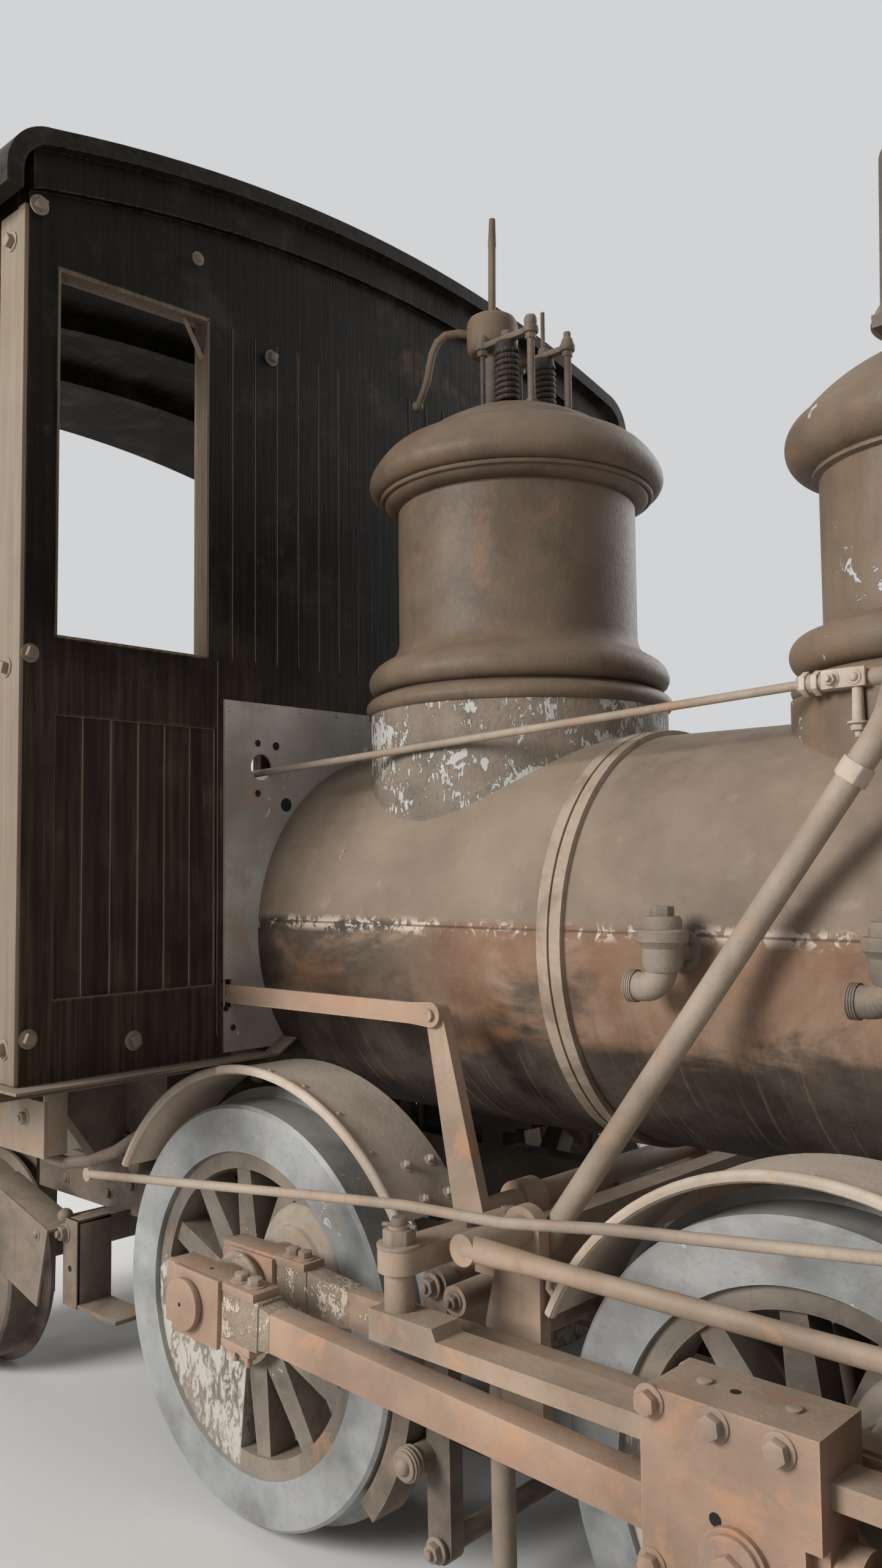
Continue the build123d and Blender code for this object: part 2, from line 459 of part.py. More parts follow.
    plate_back, plate_front = wrist_x - PLATE_BEHIND, wrist_x + PLATE_FRONT
    plate_low = WRIST_Z - PLATE_BELOW
    with BuildPart() as crosshead:
        for y0 in (PLATE_IN - PLATE_THICK, PLATE_OUT):
            with BuildSketch(side_plane(sign, y0)) as plate:
                with Locations(((plate_back + plate_front) / 2, plate_low + PLATE_HEIGHT / 2)):
                    RectangleRounded(PLATE_LENGTH, PLATE_HEIGHT, PLATE_THICK / 2)
            extrude(plate.sketch, amount=outward(sign, PLATE_THICK))
        for z0, z1 in (
            (GUIDE_TOP + SLIDE_GAP, plate_low + PLATE_HEIGHT),
            (GUIDE_LOW - SLIDE_GAP - SLAB_DEPTH, GUIDE_LOW - SLIDE_GAP),
        ):
            box(plate_back + PLATE_THICK / 2, plate_front, sign * PLATE_IN, sign * PLATE_OUT, z0, z1)
        nose = plate_front + NOSE_THICK
        outer = PLATE_OUT + PLATE_THICK
        inner = PLATE_IN - PLATE_THICK
        box(
            plate_front - PLATE_THICK, nose, sign * inner, sign * outer,
            plate_low + PLATE_HEIGHT - NOSE_UPPER, plate_low + PLATE_HEIGHT,
        )
        box(
            plate_front - PLATE_THICK, nose, sign * PLATE_IN, sign * PLATE_OUT,
            plate_low, plate_low + PLATE_HEIGHT - NOSE_UPPER,
        )
        box(
            plate_front - PLATE_THICK, nose, sign * (GUIDE_IN - SLIDE_GAP), sign * (GUIDE_OUT + SLIDE_GAP),
            GUIDE_LOW - SLIDE_GAP, GUIDE_TOP + SLIDE_GAP, Mode.SUBTRACT,
        )
        y = sign * CYLINDER_Y
        rod_front = wrist_x + CYLINDER_LENGTH + PLATE_FRONT
        bar((plate_front, y, WRIST_Z), (rod_front, y, WRIST_Z), PISTON_ROD_R)
        bar((plate_front, y, WRIST_Z), (nose + ROD_BOSS_LENGTH, y, WRIST_Z), ROD_BOSS_R)
        cross_shaft(wrist_x, WRIST_Z, WRIST_R, sign * inner, sign * outer)
        cross_shaft(wrist_x, WRIST_Z, COLLAR_R, sign * outer, sign * (outer + CHEEK_THICK))
    save(crosshead, f"crosshead_{side}")

# Cylinders and guides
ROCKER_Y, ROCKER_THICK, ROCKER_X, ROCKER_Z, ROCKER_SHAFT_R = 610.0, 30.0, 222.0, 690.0, 26.0
ROCKER_PIN_X, ROCKER_PIN_Z, ROCKER_PIN_R = 245.0, 885.0, 28.0
VALVE_ROD_IN, VALVE_ROD_R, VALVE_GLAND_R = 55.0, 17.0, 40.0
VALVE_ROD_Y = CYLINDER_Y - VALVE_ROD_IN
for side, sign in SIDES:
    y = sign * CYLINDER_Y
    chest_back = CYLINDER_X - CHEST_LENGTH / 2
    chest_low, chest_top = WRIST_Z + CHEST_LOW, WRIST_Z + CHEST_LOW + CHEST_HEIGHT
    with BuildPart() as cylinder:
        turned_along(y, WRIST_Z, (
            (GLAND_BACK, 0), (GLAND_BACK, GLAND_R), (CYLINDER_BACK, GLAND_R), (CYLINDER_BACK, COVER_R),
            (CYLINDER_BACK + COVER_THICK, COVER_R), (CYLINDER_BACK + COVER_THICK, CYLINDER_R),
            (CYLINDER_FRONT - COVER_THICK, CYLINDER_R), (CYLINDER_FRONT - COVER_THICK, COVER_R),
            (CYLINDER_FRONT, COVER_R), (CYLINDER_FRONT, CYLINDER_R - COVER_THICK),
            (CYLINDER_FRONT + COVER_THICK, GLAND_R + COVER_THICK), (CYLINDER_FRONT + COVER_THICK, 0),
        ))
        box(
            chest_back, chest_back + CHEST_LENGTH, sign * (CYLINDER_Y - CHEST_IN),
            sign * (CYLINDER_Y + CHEST_OUT),
            chest_low, chest_top,
        )
        box(
            chest_back - LID_LIP, chest_back + CHEST_LENGTH + LID_LIP,
            sign * (CYLINDER_Y - CHEST_IN - LID_LIP),
            sign * (CYLINDER_Y + CHEST_OUT + LID_LIP), chest_top, chest_top + LID_THICK,
        )
        gland_start = (chest_back - VALVE_GLAND_R, sign * VALVE_ROD_Y, ROCKER_PIN_Z)
        gland_end = (chest_back, sign * VALVE_ROD_Y, ROCKER_PIN_Z)
        bar(gland_start, gland_end, VALVE_GLAND_R)
        bar(gland_start, gland_end, VALVE_ROD_R + RUNNING_GAP, Mode.SUBTRACT)
        with BuildSketch(Plane.YZ.offset(CYLINDER_X - SADDLE_LENGTH / 3)) as saddle:
            with BuildLine():
                Line((0, RAIL_LOW - RAIL_DEPTH), (sign * CYLINDER_Y, RAIL_LOW - RAIL_DEPTH))
                Line(
                    (sign * CYLINDER_Y, RAIL_LOW - RAIL_DEPTH),
                    (sign * (CYLINDER_Y - CHEST_IN), chest_low + LID_THICK),
                )
                ThreePointArc(
                    (sign * (CYLINDER_Y - CHEST_IN), chest_low + LID_THICK),
                    (sign * (FRAME_OUT + RIM_DEPTH), chest_low + CHEST_HEIGHT / 4),
                    (sign * FRAME_IN, chest_top + LID_THICK + RAIL_DEPTH),
                )
                Line(
                    (sign * FRAME_IN, chest_top + LID_THICK + RAIL_DEPTH),
                    (0, chest_top + LID_THICK + RAIL_DEPTH),
                )
                Line((0, chest_top + LID_THICK + RAIL_DEPTH), (0, RAIL_LOW - RAIL_DEPTH))
            make_face()
        extrude(saddle.sketch, amount=SADDLE_LENGTH)
        barrel_cut(SMOKEBOX_BACK - RAIL_DEPTH, SMOKEBOX_FRONT, SMOKEBOX_R)
        box(
            SMOKEBOX_BACK, SMOKEBOX_FRONT, sign * FRAME_IN, sign * FRAME_OUT, RAIL_LOW, RAIL_TOP,
            Mode.SUBTRACT,
        )
        rod_room = CYLINDER_FRONT - COVER_THICK
        bar((GLAND_BACK, y, WRIST_Z), (rod_room, y, WRIST_Z), PISTON_ROD_R + RUNNING_GAP, Mode.SUBTRACT)
        with BuildSketch(side_plane(sign, 0)) as brace_room:
            with BuildLine():
                Polyline(*BRACE, close=True)
            make_face()
        extrude(brace_room.sketch, amount=outward(sign, FRAME_OUT), mode=Mode.SUBTRACT)
    save(cylinder, f"cylinder_{side}")

    block_front = GUIDE_REAR + GUIDE_BLOCK_LENGTH
    post_low, post_high = GUIDE_TOP + GUIDE_BLOCK_DEPTH, GUIDE_TOP + GUIDE_BLOCK_DEPTH + GUIDE_POST_HEIGHT
    with BuildPart() as guide:
        with BuildSketch(side_plane(sign, GUIDE_IN)) as guide_side:
            with BuildLine():
                Polyline(
                    (GUIDE_REAR, GUIDE_LOW), (CYLINDER_BACK, GUIDE_LOW), (CYLINDER_BACK, GUIDE_TOP),
                    (block_front + GUIDE_BLOCK_DEPTH / 2, GUIDE_TOP), (block_front, post_low),
                    (GUIDE_REAR, post_low), close=True,
                )
            make_face()
        extrude(guide_side.sketch, amount=outward(sign, GUIDE_WIDTH))
        bar((GUIDE_POST_X, y, post_low), (GUIDE_POST_X, y, post_high), GUIDE_POST_R)
    save(guide, f"guide_bar_{side}")

with BuildPart() as braces:
    for x in (REAR_X + 400, FRONT_X + JAW_TOP + 36):
        box(x, x + RAIL_DEPTH / 3, -FRAME_IN, FRAME_IN, BRACE_LOW + RAIL_DEPTH, RAIL_TOP)
    beam_x = GUIDE_POST_X - YOKE_THICK / 2
    with BuildSketch(Plane.YZ.offset(beam_x)) as beam:
        Polygon(
            (-YOKE_HALF, post_high), (-YOKE_HALF, post_low), (-FRAME_OUT, RAIL_TOP), (FRAME_OUT, RAIL_TOP),
            (YOKE_HALF, post_low), (YOKE_HALF, post_high), align=None,
        )
    extrude(beam.sketch, amount=YOKE_THICK)
    for side, sign in SIDES:
        with BuildSketch(Plane.XY.offset(post_high)) as arm:
            for x, y, radius in (
                (GUIDE_POST_X, sign * CYLINDER_Y, GUIDE_POST_R + 12),
                (GUIDE_POST_X + 12, sign * (YOKE_HALF - 60), 30),
            ):
                with Locations((x, y)):
                    Circle(radius)
            make_hull()
        extrude(arm.sketch, amount=GUIDE_ARM_THICK)
        stud_top = post_high + GUIDE_ARM_THICK + 37
        bar(
            (GUIDE_POST_X, sign * CYLINDER_Y, post_high), (GUIDE_POST_X, sign * CYLINDER_Y, stud_top),
            GUIDE_STUD_R,
        )
        cross_shaft(40, RAIL_TOP - GUIDE_ARM_THICK, 30, sign * FRAME_OUT, sign * YOKE_HALF)
save(braces, "guide_yoke")

# Ends of the frame
BEAM_LOW, BEAM_HIGH, BEAM_THICK, BEAM_HALF = RAIL_LOW - RAIL_DEPTH, RAIL_TOP + 20, 90.0, 900.0
DECK_THICK, COUPLER_HALF = 25.0, 110.0
with BuildPart() as front_beam:
    box(FRAME_FRONT, FRAME_FRONT + BEAM_THICK, -BEAM_HALF, BEAM_HALF, BEAM_LOW, BEAM_HIGH)
    box(CYLINDER_FRONT + 70, FRAME_FRONT, -FRAME_OUT, FRAME_OUT, RAIL_TOP, RAIL_TOP + DECK_THICK)
    pocket = FRAME_FRONT + BEAM_THICK
    box(pocket, pocket + BEAM_THICK, -COUPLER_HALF, COUPLER_HALF, BEAM_LOW + 50, BEAM_HIGH - 20)
    box(
        pocket + DECK_THICK, pocket + BEAM_THICK, -COUPLER_HALF + DECK_THICK, COUPLER_HALF - DECK_THICK,
        BEAM_LOW + 50 + DECK_THICK, BEAM_HIGH - 20 - DECK_THICK, Mode.SUBTRACT,
    )
save(front_beam, "front_beam")

PILOT_REACH, PILOT_HALF, PILOT_LOW, PILOT_SHOE, SLAT_R, SLATS = 410.0, 780.0, 80.0, 60.0, 20.0, 12
PILOT_SILL_HALF, PILOT_SILL = 800.0, 60.0
with BuildPart() as pilot:
    box(pocket, pocket + PILOT_SILL, -PILOT_SILL_HALF, PILOT_SILL_HALF, BEAM_LOW - RAIL_DEPTH, BEAM_LOW + 40)
    with BuildSketch(Plane.XY.offset(PILOT_LOW)) as shoe:
        with BuildLine():
            Polyline(
                (pocket, -PILOT_HALF), (pocket + PILOT_REACH, 0), (pocket, PILOT_HALF),
                (pocket, PILOT_HALF - 100), (pocket + PILOT_REACH - 100, 0), (pocket, -PILOT_HALF + 100),
                close=True,
            )
        make_face()
    extrude(shoe.sketch, amount=PILOT_SHOE)
    slat_pitch = 2 * (PILOT_HALF - 120) / (SLATS - 1)
    for i in range(SLATS):
        y = -PILOT_HALF + 120 + i * slat_pitch
        foot_x = pocket + PILOT_REACH - 50 - abs(y) * (PILOT_REACH - 20) / PILOT_HALF
        bar(
            (pocket + PILOT_SILL / 2, y * 0.95, BEAM_LOW - 60), (foot_x, y, PILOT_LOW + PILOT_SHOE / 2),
            SLAT_R,
        )
save(pilot, "pilot")

CARRIER_HALF, CARRIER_WIDTH, CARRIER_DEPTH, GUSSET_REACH = 1100.0, 60.0, 45.0, 260.0
DRAG_THICK = 100.0
with BuildPart() as drag_beam:
    box(FRAME_BACK - DRAG_THICK, FRAME_BACK, -BEAM_HALF, BEAM_HALF, RAIL_TOP, FLOOR_LOW)
    box(FRAME_BACK - DRAG_THICK, FRAME_BACK, -FRAME_OUT, FRAME_OUT, RAIL_LOW - 50, RAIL_TOP)
    for side, sign in SIDES:
        for x, inner in ((FIREBOX_FRONT - 260, FIREBOX_HALF), (TRAIL_X - 220, FRAME_IN)):
            with BuildSketch(Plane.YZ.offset(x)) as gusset:
                Polygon(
                    (sign * inner, RAIL_TOP), (sign * inner, FLOOR_LOW), (sign * CARRIER_HALF, FLOOR_LOW),
                    (sign * CARRIER_HALF, FLOOR_LOW - CARRIER_DEPTH),
                    (sign * (inner + GUSSET_REACH), FLOOR_LOW - 85),
                    (sign * (inner + RAIL_DEPTH), RAIL_TOP), align=None,
                )
            extrude(gusset.sketch, amount=CARRIER_WIDTH)
save(drag_beam, "cab_carriers")

SPRING_LEAVES, LEAF_THICK, SPRING_HALF, LEAF_STEP, SPRING_BEND = 5, 13.0, 330.0, 60.0, 1300.0
SPRING_RISE = 45.0
with BuildPart() as springs:
    for side, sign in SIDES:
        for axle_x in (REAR_X, FRONT_X):
            low = RAIL_TOP + SPRING_RISE
            for leaf in range(SPRING_LEAVES):
                spread = degrees(asin((SPRING_HALF - leaf * LEAF_STEP) / SPRING_BEND))
                centre = (axle_x, low + SPRING_BEND)
                band = SPRING_BEND - (SPRING_LEAVES - 1 - leaf) * LEAF_THICK
                arc_band(
                    sign, centre, band - LEAF_THICK, band, -90 - spread, -90 + spread, FRAME_IN, FRAME_THICK,
                )
            buckle_top = low + (SPRING_LEAVES + 1) * LEAF_THICK
            box(axle_x - 40, axle_x + 40, sign * FRAME_IN, sign * FRAME_OUT, RAIL_TOP, buckle_top)
            for end_x in (axle_x - SPRING_HALF + LEAF_THICK, axle_x + SPRING_HALF - LEAF_THICK):
                y = sign * (FRAME_IN + FRAME_OUT) / 2
                end_z = low + SPRING_HALF**2 / (2 * SPRING_BEND) + (SPRING_LEAVES - 1) * LEAF_THICK
                bar((end_x, y, RAIL_TOP), (end_x, y, end_z), LEAF_THICK)
save(springs, "springs")

SHOE_GAP, SHOE_THICK, SHOE_FIRST, SHOE_LAST, SHOE_IN, SHOE_WIDTH = 10.0, 48.0, -39.0, -8.0, 480.0, 90.0
HANGER_X, HANGER_THICK, HANGER_TOP, HANGER_FOOT = -80.0, 40.0, 685.0, 155.0
with BuildPart() as brakes:
    for side, sign in SIDES:
        shoe_r = TREAD_R + SHOE_GAP
        arc_band(
            sign, (REAR_X, AXLE_Z), shoe_r, shoe_r + SHOE_THICK, SHOE_FIRST, SHOE_LAST, SHOE_IN, SHOE_WIDTH,
        )
        link(
            sign, SHOE_IN + 10, HANGER_THICK, (HANGER_X, HANGER_TOP, 34), (HANGER_X, AXLE_Z - 180, 26),
            (HANGER_X + 8, HANGER_FOOT, 32),
        )
        head = AXLE_Z - 178
        cross_shaft(HANGER_X - 30, head, 30, sign * SHOE_IN, sign * (SHOE_IN + SHOE_WIDTH))
        cross_shaft(HANGER_X, HANGER_TOP, 20, sign * FRAME_OUT, sign * (SHOE_IN + HANGER_THICK + 20))
    beam = SHOE_IN + HANGER_THICK + 20
    cross_shaft(HANGER_X + 8, HANGER_FOOT, 22, -beam, beam)
save(brakes, "brake_gear")

# Fenders
for side, sign in SIDES:
    with BuildPart() as fenders:
        for name, ahead, below, over, first, last in FENDERS:
            cx = (REAR_X if name == "rear" else FRONT_X) + ahead
            cz, radius = AXLE_Z - below, FLANGE_R + over
            arc_band(sign, (cx, cz), radius - FENDER_THICK, radius, first, last, FENDER_IN, FENDER_WIDTH)
            bead_y = FENDER_IN + FENDER_WIDTH - BEAD_WIDTH / 2
            start = radians(first)
            with BuildSketch(Plane(
                origin=(cx + radius * cos(start), sign * bead_y, cz + radius * sin(start)),
                x_dir=(0, 1, 0), z_dir=(-sin(start), 0, cos(start)),
            )) as bead:
                Circle(BEAD_WIDTH / 2)
            revolve(bead.sketch, axis=Axis((cx, 0, cz), (0, -1, 0)), revolution_arc=last - first)
            for a in (radians(first), radians(last)):
                x, z = cx + (radius - 4) * cos(a), cz + (radius - 4) * sin(a)
                box(x - 25, x + 25, sign * FRAME_OUT, sign * (FENDER_IN + 5), RAIL_TOP - 28, z + 8)
    save(fenders, f"fenders_{side}")

# Boiler
with BuildPart() as barrel:
    bar((FIREBOX_FRONT, 0, BOILER_Z), (LAP_X, 0, BOILER_Z), BARREL_REAR_R)
    bar((LAP_X, 0, BOILER_Z), (SMOKEBOX_BACK, 0, BOILER_Z), BARREL_FRONT_R)
    band_r = BARREL_REAR_R + BAND_THICK
    for x in (LAP_X - BAND_WIDTH - BAND_PITCH, LAP_X - BAND_WIDTH, SMOKEBOX_BACK - BAND_WIDTH):
        bar((x, 0, BOILER_Z), (x + BAND_WIDTH, 0, BOILER_Z), band_r)
save(barrel, "boiler_barrel")

FIRE_DOOR_LOW, FIRE_DOOR_HIGH, FIRE_DOOR_THICK = BOILER_Z - 116, BOILER_Z + 144, 24.0
GAUGE_Y, GAUGE_R, THROTTLE_Z = 300.0, 14.0, BOILER_Z + 300
hinge_x = FIREBOX_BACK - FIRE_DOOR_X
with BuildPart() as firebox:
    with BuildSketch(Plane.YZ.offset(FIREBOX_BACK)) as shell:
        with Locations((0, BOILER_Z)):
            Circle(BARREL_REAR_R)
        with Locations((0, (RAIL_TOP + BOILER_Z) / 2)):
            Rectangle(2 * FIREBOX_HALF, BOILER_Z - RAIL_TOP)
        with Locations((0, (RAIL_TOP - GRATE_DROP + BOILER_Z) / 2)):
            Rectangle(2 * FRAME_IN, BOILER_Z - RAIL_TOP + GRATE_DROP)
    extrude(shell.sketch, amount=FIREBOX_LENGTH)
    lugs(hinge_x, FIRE_DOOR_Y, BOILER_Z - 56, 140, FIREBOX_BACK)
    for y in (-GAUGE_Y, GAUGE_Y):
        bar((hinge_x - 30, y, BOILER_Z - 60), (hinge_x - 30, y, BOILER_Z + 160), GAUGE_R)
        for z in (BOILER_Z - 40, BOILER_Z + 140):
            bar((hinge_x - 30, y, z), (FIREBOX_BACK, y, z), GAUGE_R)
    bar((hinge_x - 60, 0, THROTTLE_Z), (FIREBOX_BACK, 0, THROTTLE_Z), GAUGE_R + 8)
    bar((hinge_x - 45, 0, THROTTLE_Z), (hinge_x - 45, -330, THROTTLE_Z + 60), GAUGE_R)
save(firebox, "firebox")

with BuildPart() as fire_door:
    door_x = FIREBOX_BACK - HINGE_PLAY
    with BuildSketch(Plane.YZ.offset(door_x - FIRE_DOOR_THICK)) as leaf:
        with Locations((-5, (FIRE_DOOR_LOW + FIRE_DOOR_HIGH) / 2)):
            RectangleRounded(290, FIRE_DOOR_HIGH - FIRE_DOOR_LOW, 40)
    extrude(leaf.sketch, amount=FIRE_DOOR_THICK)
    box(door_x - FIRE_DOOR_THICK - 6, door_x - 18, 0, FIRE_DOOR_Y, BOILER_Z - 26, BOILER_Z + 54)
    knuckle(hinge_x, FIRE_DOOR_Y, BOILER_Z - 56, 140)
save(fire_door, "fire_door")

DOOR_HINGES = (BOILER_Z - 190, BOILER_Z + 110)
door_hinge_x = SMOKEBOX_FRONT + 22
with BuildPart() as smokebox:
    bar((SMOKEBOX_BACK, 0, BOILER_Z), (SMOKEBOX_FRONT, 0, BOILER_Z), SMOKEBOX_R)
    ring_r = SMOKEBOX_R + RING_THICK
    bar((SMOKEBOX_FRONT - RING_WIDTH, 0, BOILER_Z), (SMOKEBOX_FRONT, 0, BOILER_Z), ring_r)
    for z in DOOR_HINGES:
        lugs(door_hinge_x, DOOR_HINGE_Y, z, HINGE_HEIGHT, SMOKEBOX_FRONT)
save(smokebox, "smokebox")

with BuildPart() as door:
    door_face = SMOKEBOX_FRONT + DOOR_THICK
    with BuildSketch(Plane(origin=(0, 0, BOILER_Z), x_dir=(1, 0, 0), z_dir=(0, -1, 0))) as dish:
        with BuildLine():
            Line((SMOKEBOX_FRONT, 0), (SMOKEBOX_FRONT, DOOR_R))
            Line((SMOKEBOX_FRONT, DOOR_R), (door_face, DOOR_R))
            Line((door_face, DOOR_R), (door_face, DOOR_R - 30))
            ThreePointArc(
                (door_face, DOOR_R - 30), (door_face + DOOR_DISH * 0.75, DOOR_R / 2),
                (door_face + DOOR_DISH, 0),
            )
            Line((door_face + DOOR_DISH, 0), (SMOKEBOX_FRONT, 0))
        make_face()
    revolve(dish.sketch, axis=Axis((0, 0, BOILER_Z), (1, 0, 0)))
    bar((door_face, 0, BOILER_Z), (door_face + DOOR_DISH + 30, 0, BOILER_Z), COLLAR_R)
    for z in DOOR_HINGES:
        strap_z = z + HINGE_HEIGHT / 2
        box(door_face + 4, door_face + 14, 60, DOOR_HINGE_Y, strap_z - 25, strap_z + 25)
        knuckle(door_hinge_x, DOOR_HINGE_Y, z, HINGE_HEIGHT)
save(door, "smokebox_door")

with BuildPart() as chimney:
    top = BOILER_Z + CHIMNEY_TOP
    foot = BOILER_Z + SMOKEBOX_R + 19
    bore = CHIMNEY_R - CHIMNEY_WALL
    turned(CYLINDER_X, 0, (
        (0, BOILER_Z + 300), (CHIMNEY_BASE_R, BOILER_Z + 300), (CHIMNEY_BASE_R, foot),
        (CHIMNEY_R + 15, foot + 70),
        (CHIMNEY_R, foot + 170), (CHIMNEY_R, top - 90), (CHIMNEY_CAP_R, top - 60), (CHIMNEY_CAP_R, top),
        (bore, top), (bore, foot + 10), (0, foot + 10),
    ))
    moulding(CYLINDER_X, top - 130, CHIMNEY_R, 14)
    barrel_cut(SMOKEBOX_BACK - RAIL_DEPTH, SMOKEBOX_FRONT, SMOKEBOX_R)
save(chimney, "chimney")

LAMP_BACK, LAMP_LENGTH, LAMP_HALF, LAMP_LOW, LAMP_HEIGHT, LENS_R = 245.0, 175.0, 160.0, 529.0, 335.0, 140.0
with BuildPart() as headlight:
    lamp_x, lamp_z = CYLINDER_X + LAMP_BACK, BOILER_Z + LAMP_LOW
    box(lamp_x + 10, lamp_x + LAMP_LENGTH - 10, -120, 120, lamp_z - 25, lamp_z)
    box(lamp_x + 25, lamp_x + 55, -100, 100, BOILER_Z + 400, lamp_z - 25)
    barrel_cut(SMOKEBOX_BACK - RAIL_DEPTH, SMOKEBOX_FRONT, SMOKEBOX_R)
    with BuildSketch(Plane.YZ.offset(lamp_x)) as case:
        Polygon(
            (-LAMP_HALF, lamp_z), (LAMP_HALF, lamp_z), (LAMP_HALF, lamp_z + LAMP_HEIGHT - 60),
            (LAMP_HALF - 70, lamp_z + LAMP_HEIGHT), (-LAMP_HALF + 70, lamp_z + LAMP_HEIGHT),
            (-LAMP_HALF, lamp_z + LAMP_HEIGHT - 60), align=None,
        )
    extrude(case.sketch, amount=LAMP_LENGTH)
    lens_z = lamp_z + LAMP_HEIGHT / 2
    bar((lamp_x + LAMP_LENGTH, 0, lens_z), (lamp_x + LAMP_LENGTH + 30, 0, lens_z), LENS_R)
    bar(
        (lamp_x + LAMP_LENGTH + 12, 0, lens_z), (lamp_x + LAMP_LENGTH + 30, 0, lens_z), LENS_R - 14,
        Mode.SUBTRACT,
    )
    vent = lamp_z + LAMP_HEIGHT
    turned(lamp_x + LAMP_LENGTH / 2, 0, (
        (0, vent), (50, vent), (50, vent + 70), (72, vent + 80), (30, vent + 120), (0, vent + 120),
    ))
save(headlight, "headlight")

# Domes
RIM_OUT, SADDLE_FOOT, FLANGE_THICK, FLANGE_SET = 8.0, 1400.0, 15.0, 15.0


def dome_shell(x, foot, barrel_r, base_r, rim_r, height, cap_rise, flat_r):
    """A dome from its foot up: bead, base moulding, barrel, rim moulding and crowned cap."""
    base_ring, rim_ring, rim_z = barrel_r + base_r - FLANGE_SET, barrel_r + RIM_OUT, foot + height
    base_z = foot + 2 * BEAD_R + base_r + 6
    bead_ring = base_ring + FLANGE_SET + 3
    edge_r, edge_z = rim_ring + rim_r / 2, rim_z + rim_r * cos(radians(30))
    turned(x, 0, (
        (0, foot), (bead_ring, foot), (bead_ring, foot + 2 * BEAD_R), (base_ring, base_z - base_r),
        (base_ring, base_z + base_r), (barrel_r, base_z + base_r + FLANGE_SET),
        (barrel_r, rim_z - rim_r - 12),
        (barrel_r + 14, rim_z - rim_r - 8), (barrel_r + 14, rim_z), (edge_r, edge_z), (0, edge_z),
    ))
    moulding(x, foot + BEAD_R, bead_ring, BEAD_R)
    moulding(x, base_z, base_ring, base_r)
    moulding(x, rim_z, rim_ring, rim_r)
    cap(x, edge_r, edge_z, flat_r, edge_z + cap_rise, FLANGE_SET)
    return edge_z + cap_rise


SADDLE_TOP = BOILER_Z + SADDLE_RISE
with BuildPart() as saddle:
    turned(
        STEAM_DOME_X, 0,
        ((0, SADDLE_FOOT), (SADDLE_R, SADDLE_FOOT), (SADDLE_R, SADDLE_TOP), (0, SADDLE_TOP)),
    )
    barrel_cut(FIREBOX_FRONT, LAP_X, BARREL_REAR_R)
save(saddle, "dome_saddle")

with BuildPart() as steam_dome:
    steam_top = dome_shell(
        STEAM_DOME_X, SADDLE_TOP, STEAM_DOME_R, STEAM_BASE_R, STEAM_RIM_R, STEAM_BARREL, STEAM_CAP_RISE,
        STEAM_FLAT_R,
    )
save(steam_dome, "steam_dome")

SAND_TOP = BOILER_Z + SAND_SADDLE_RISE
with BuildPart() as sand_dome:
    turned(
        SAND_DOME_X, 0,
        ((0, SADDLE_FOOT), (SAND_SADDLE_R, SADDLE_FOOT), (SAND_SADDLE_R, SAND_TOP), (0, SAND_TOP)),
    )
    sand_flat = dome_shell(
        SAND_DOME_X, SAND_TOP, SAND_DOME_R, SAND_BASE_R, SAND_RIM_R, SAND_BARREL, SAND_CAP_RISE, SAND_FLAT_R,
    )
    barrel_cut(LAP_X, SMOKEBOX_BACK, BARREL_FRONT_R)
save(sand_dome, "sand_dome")

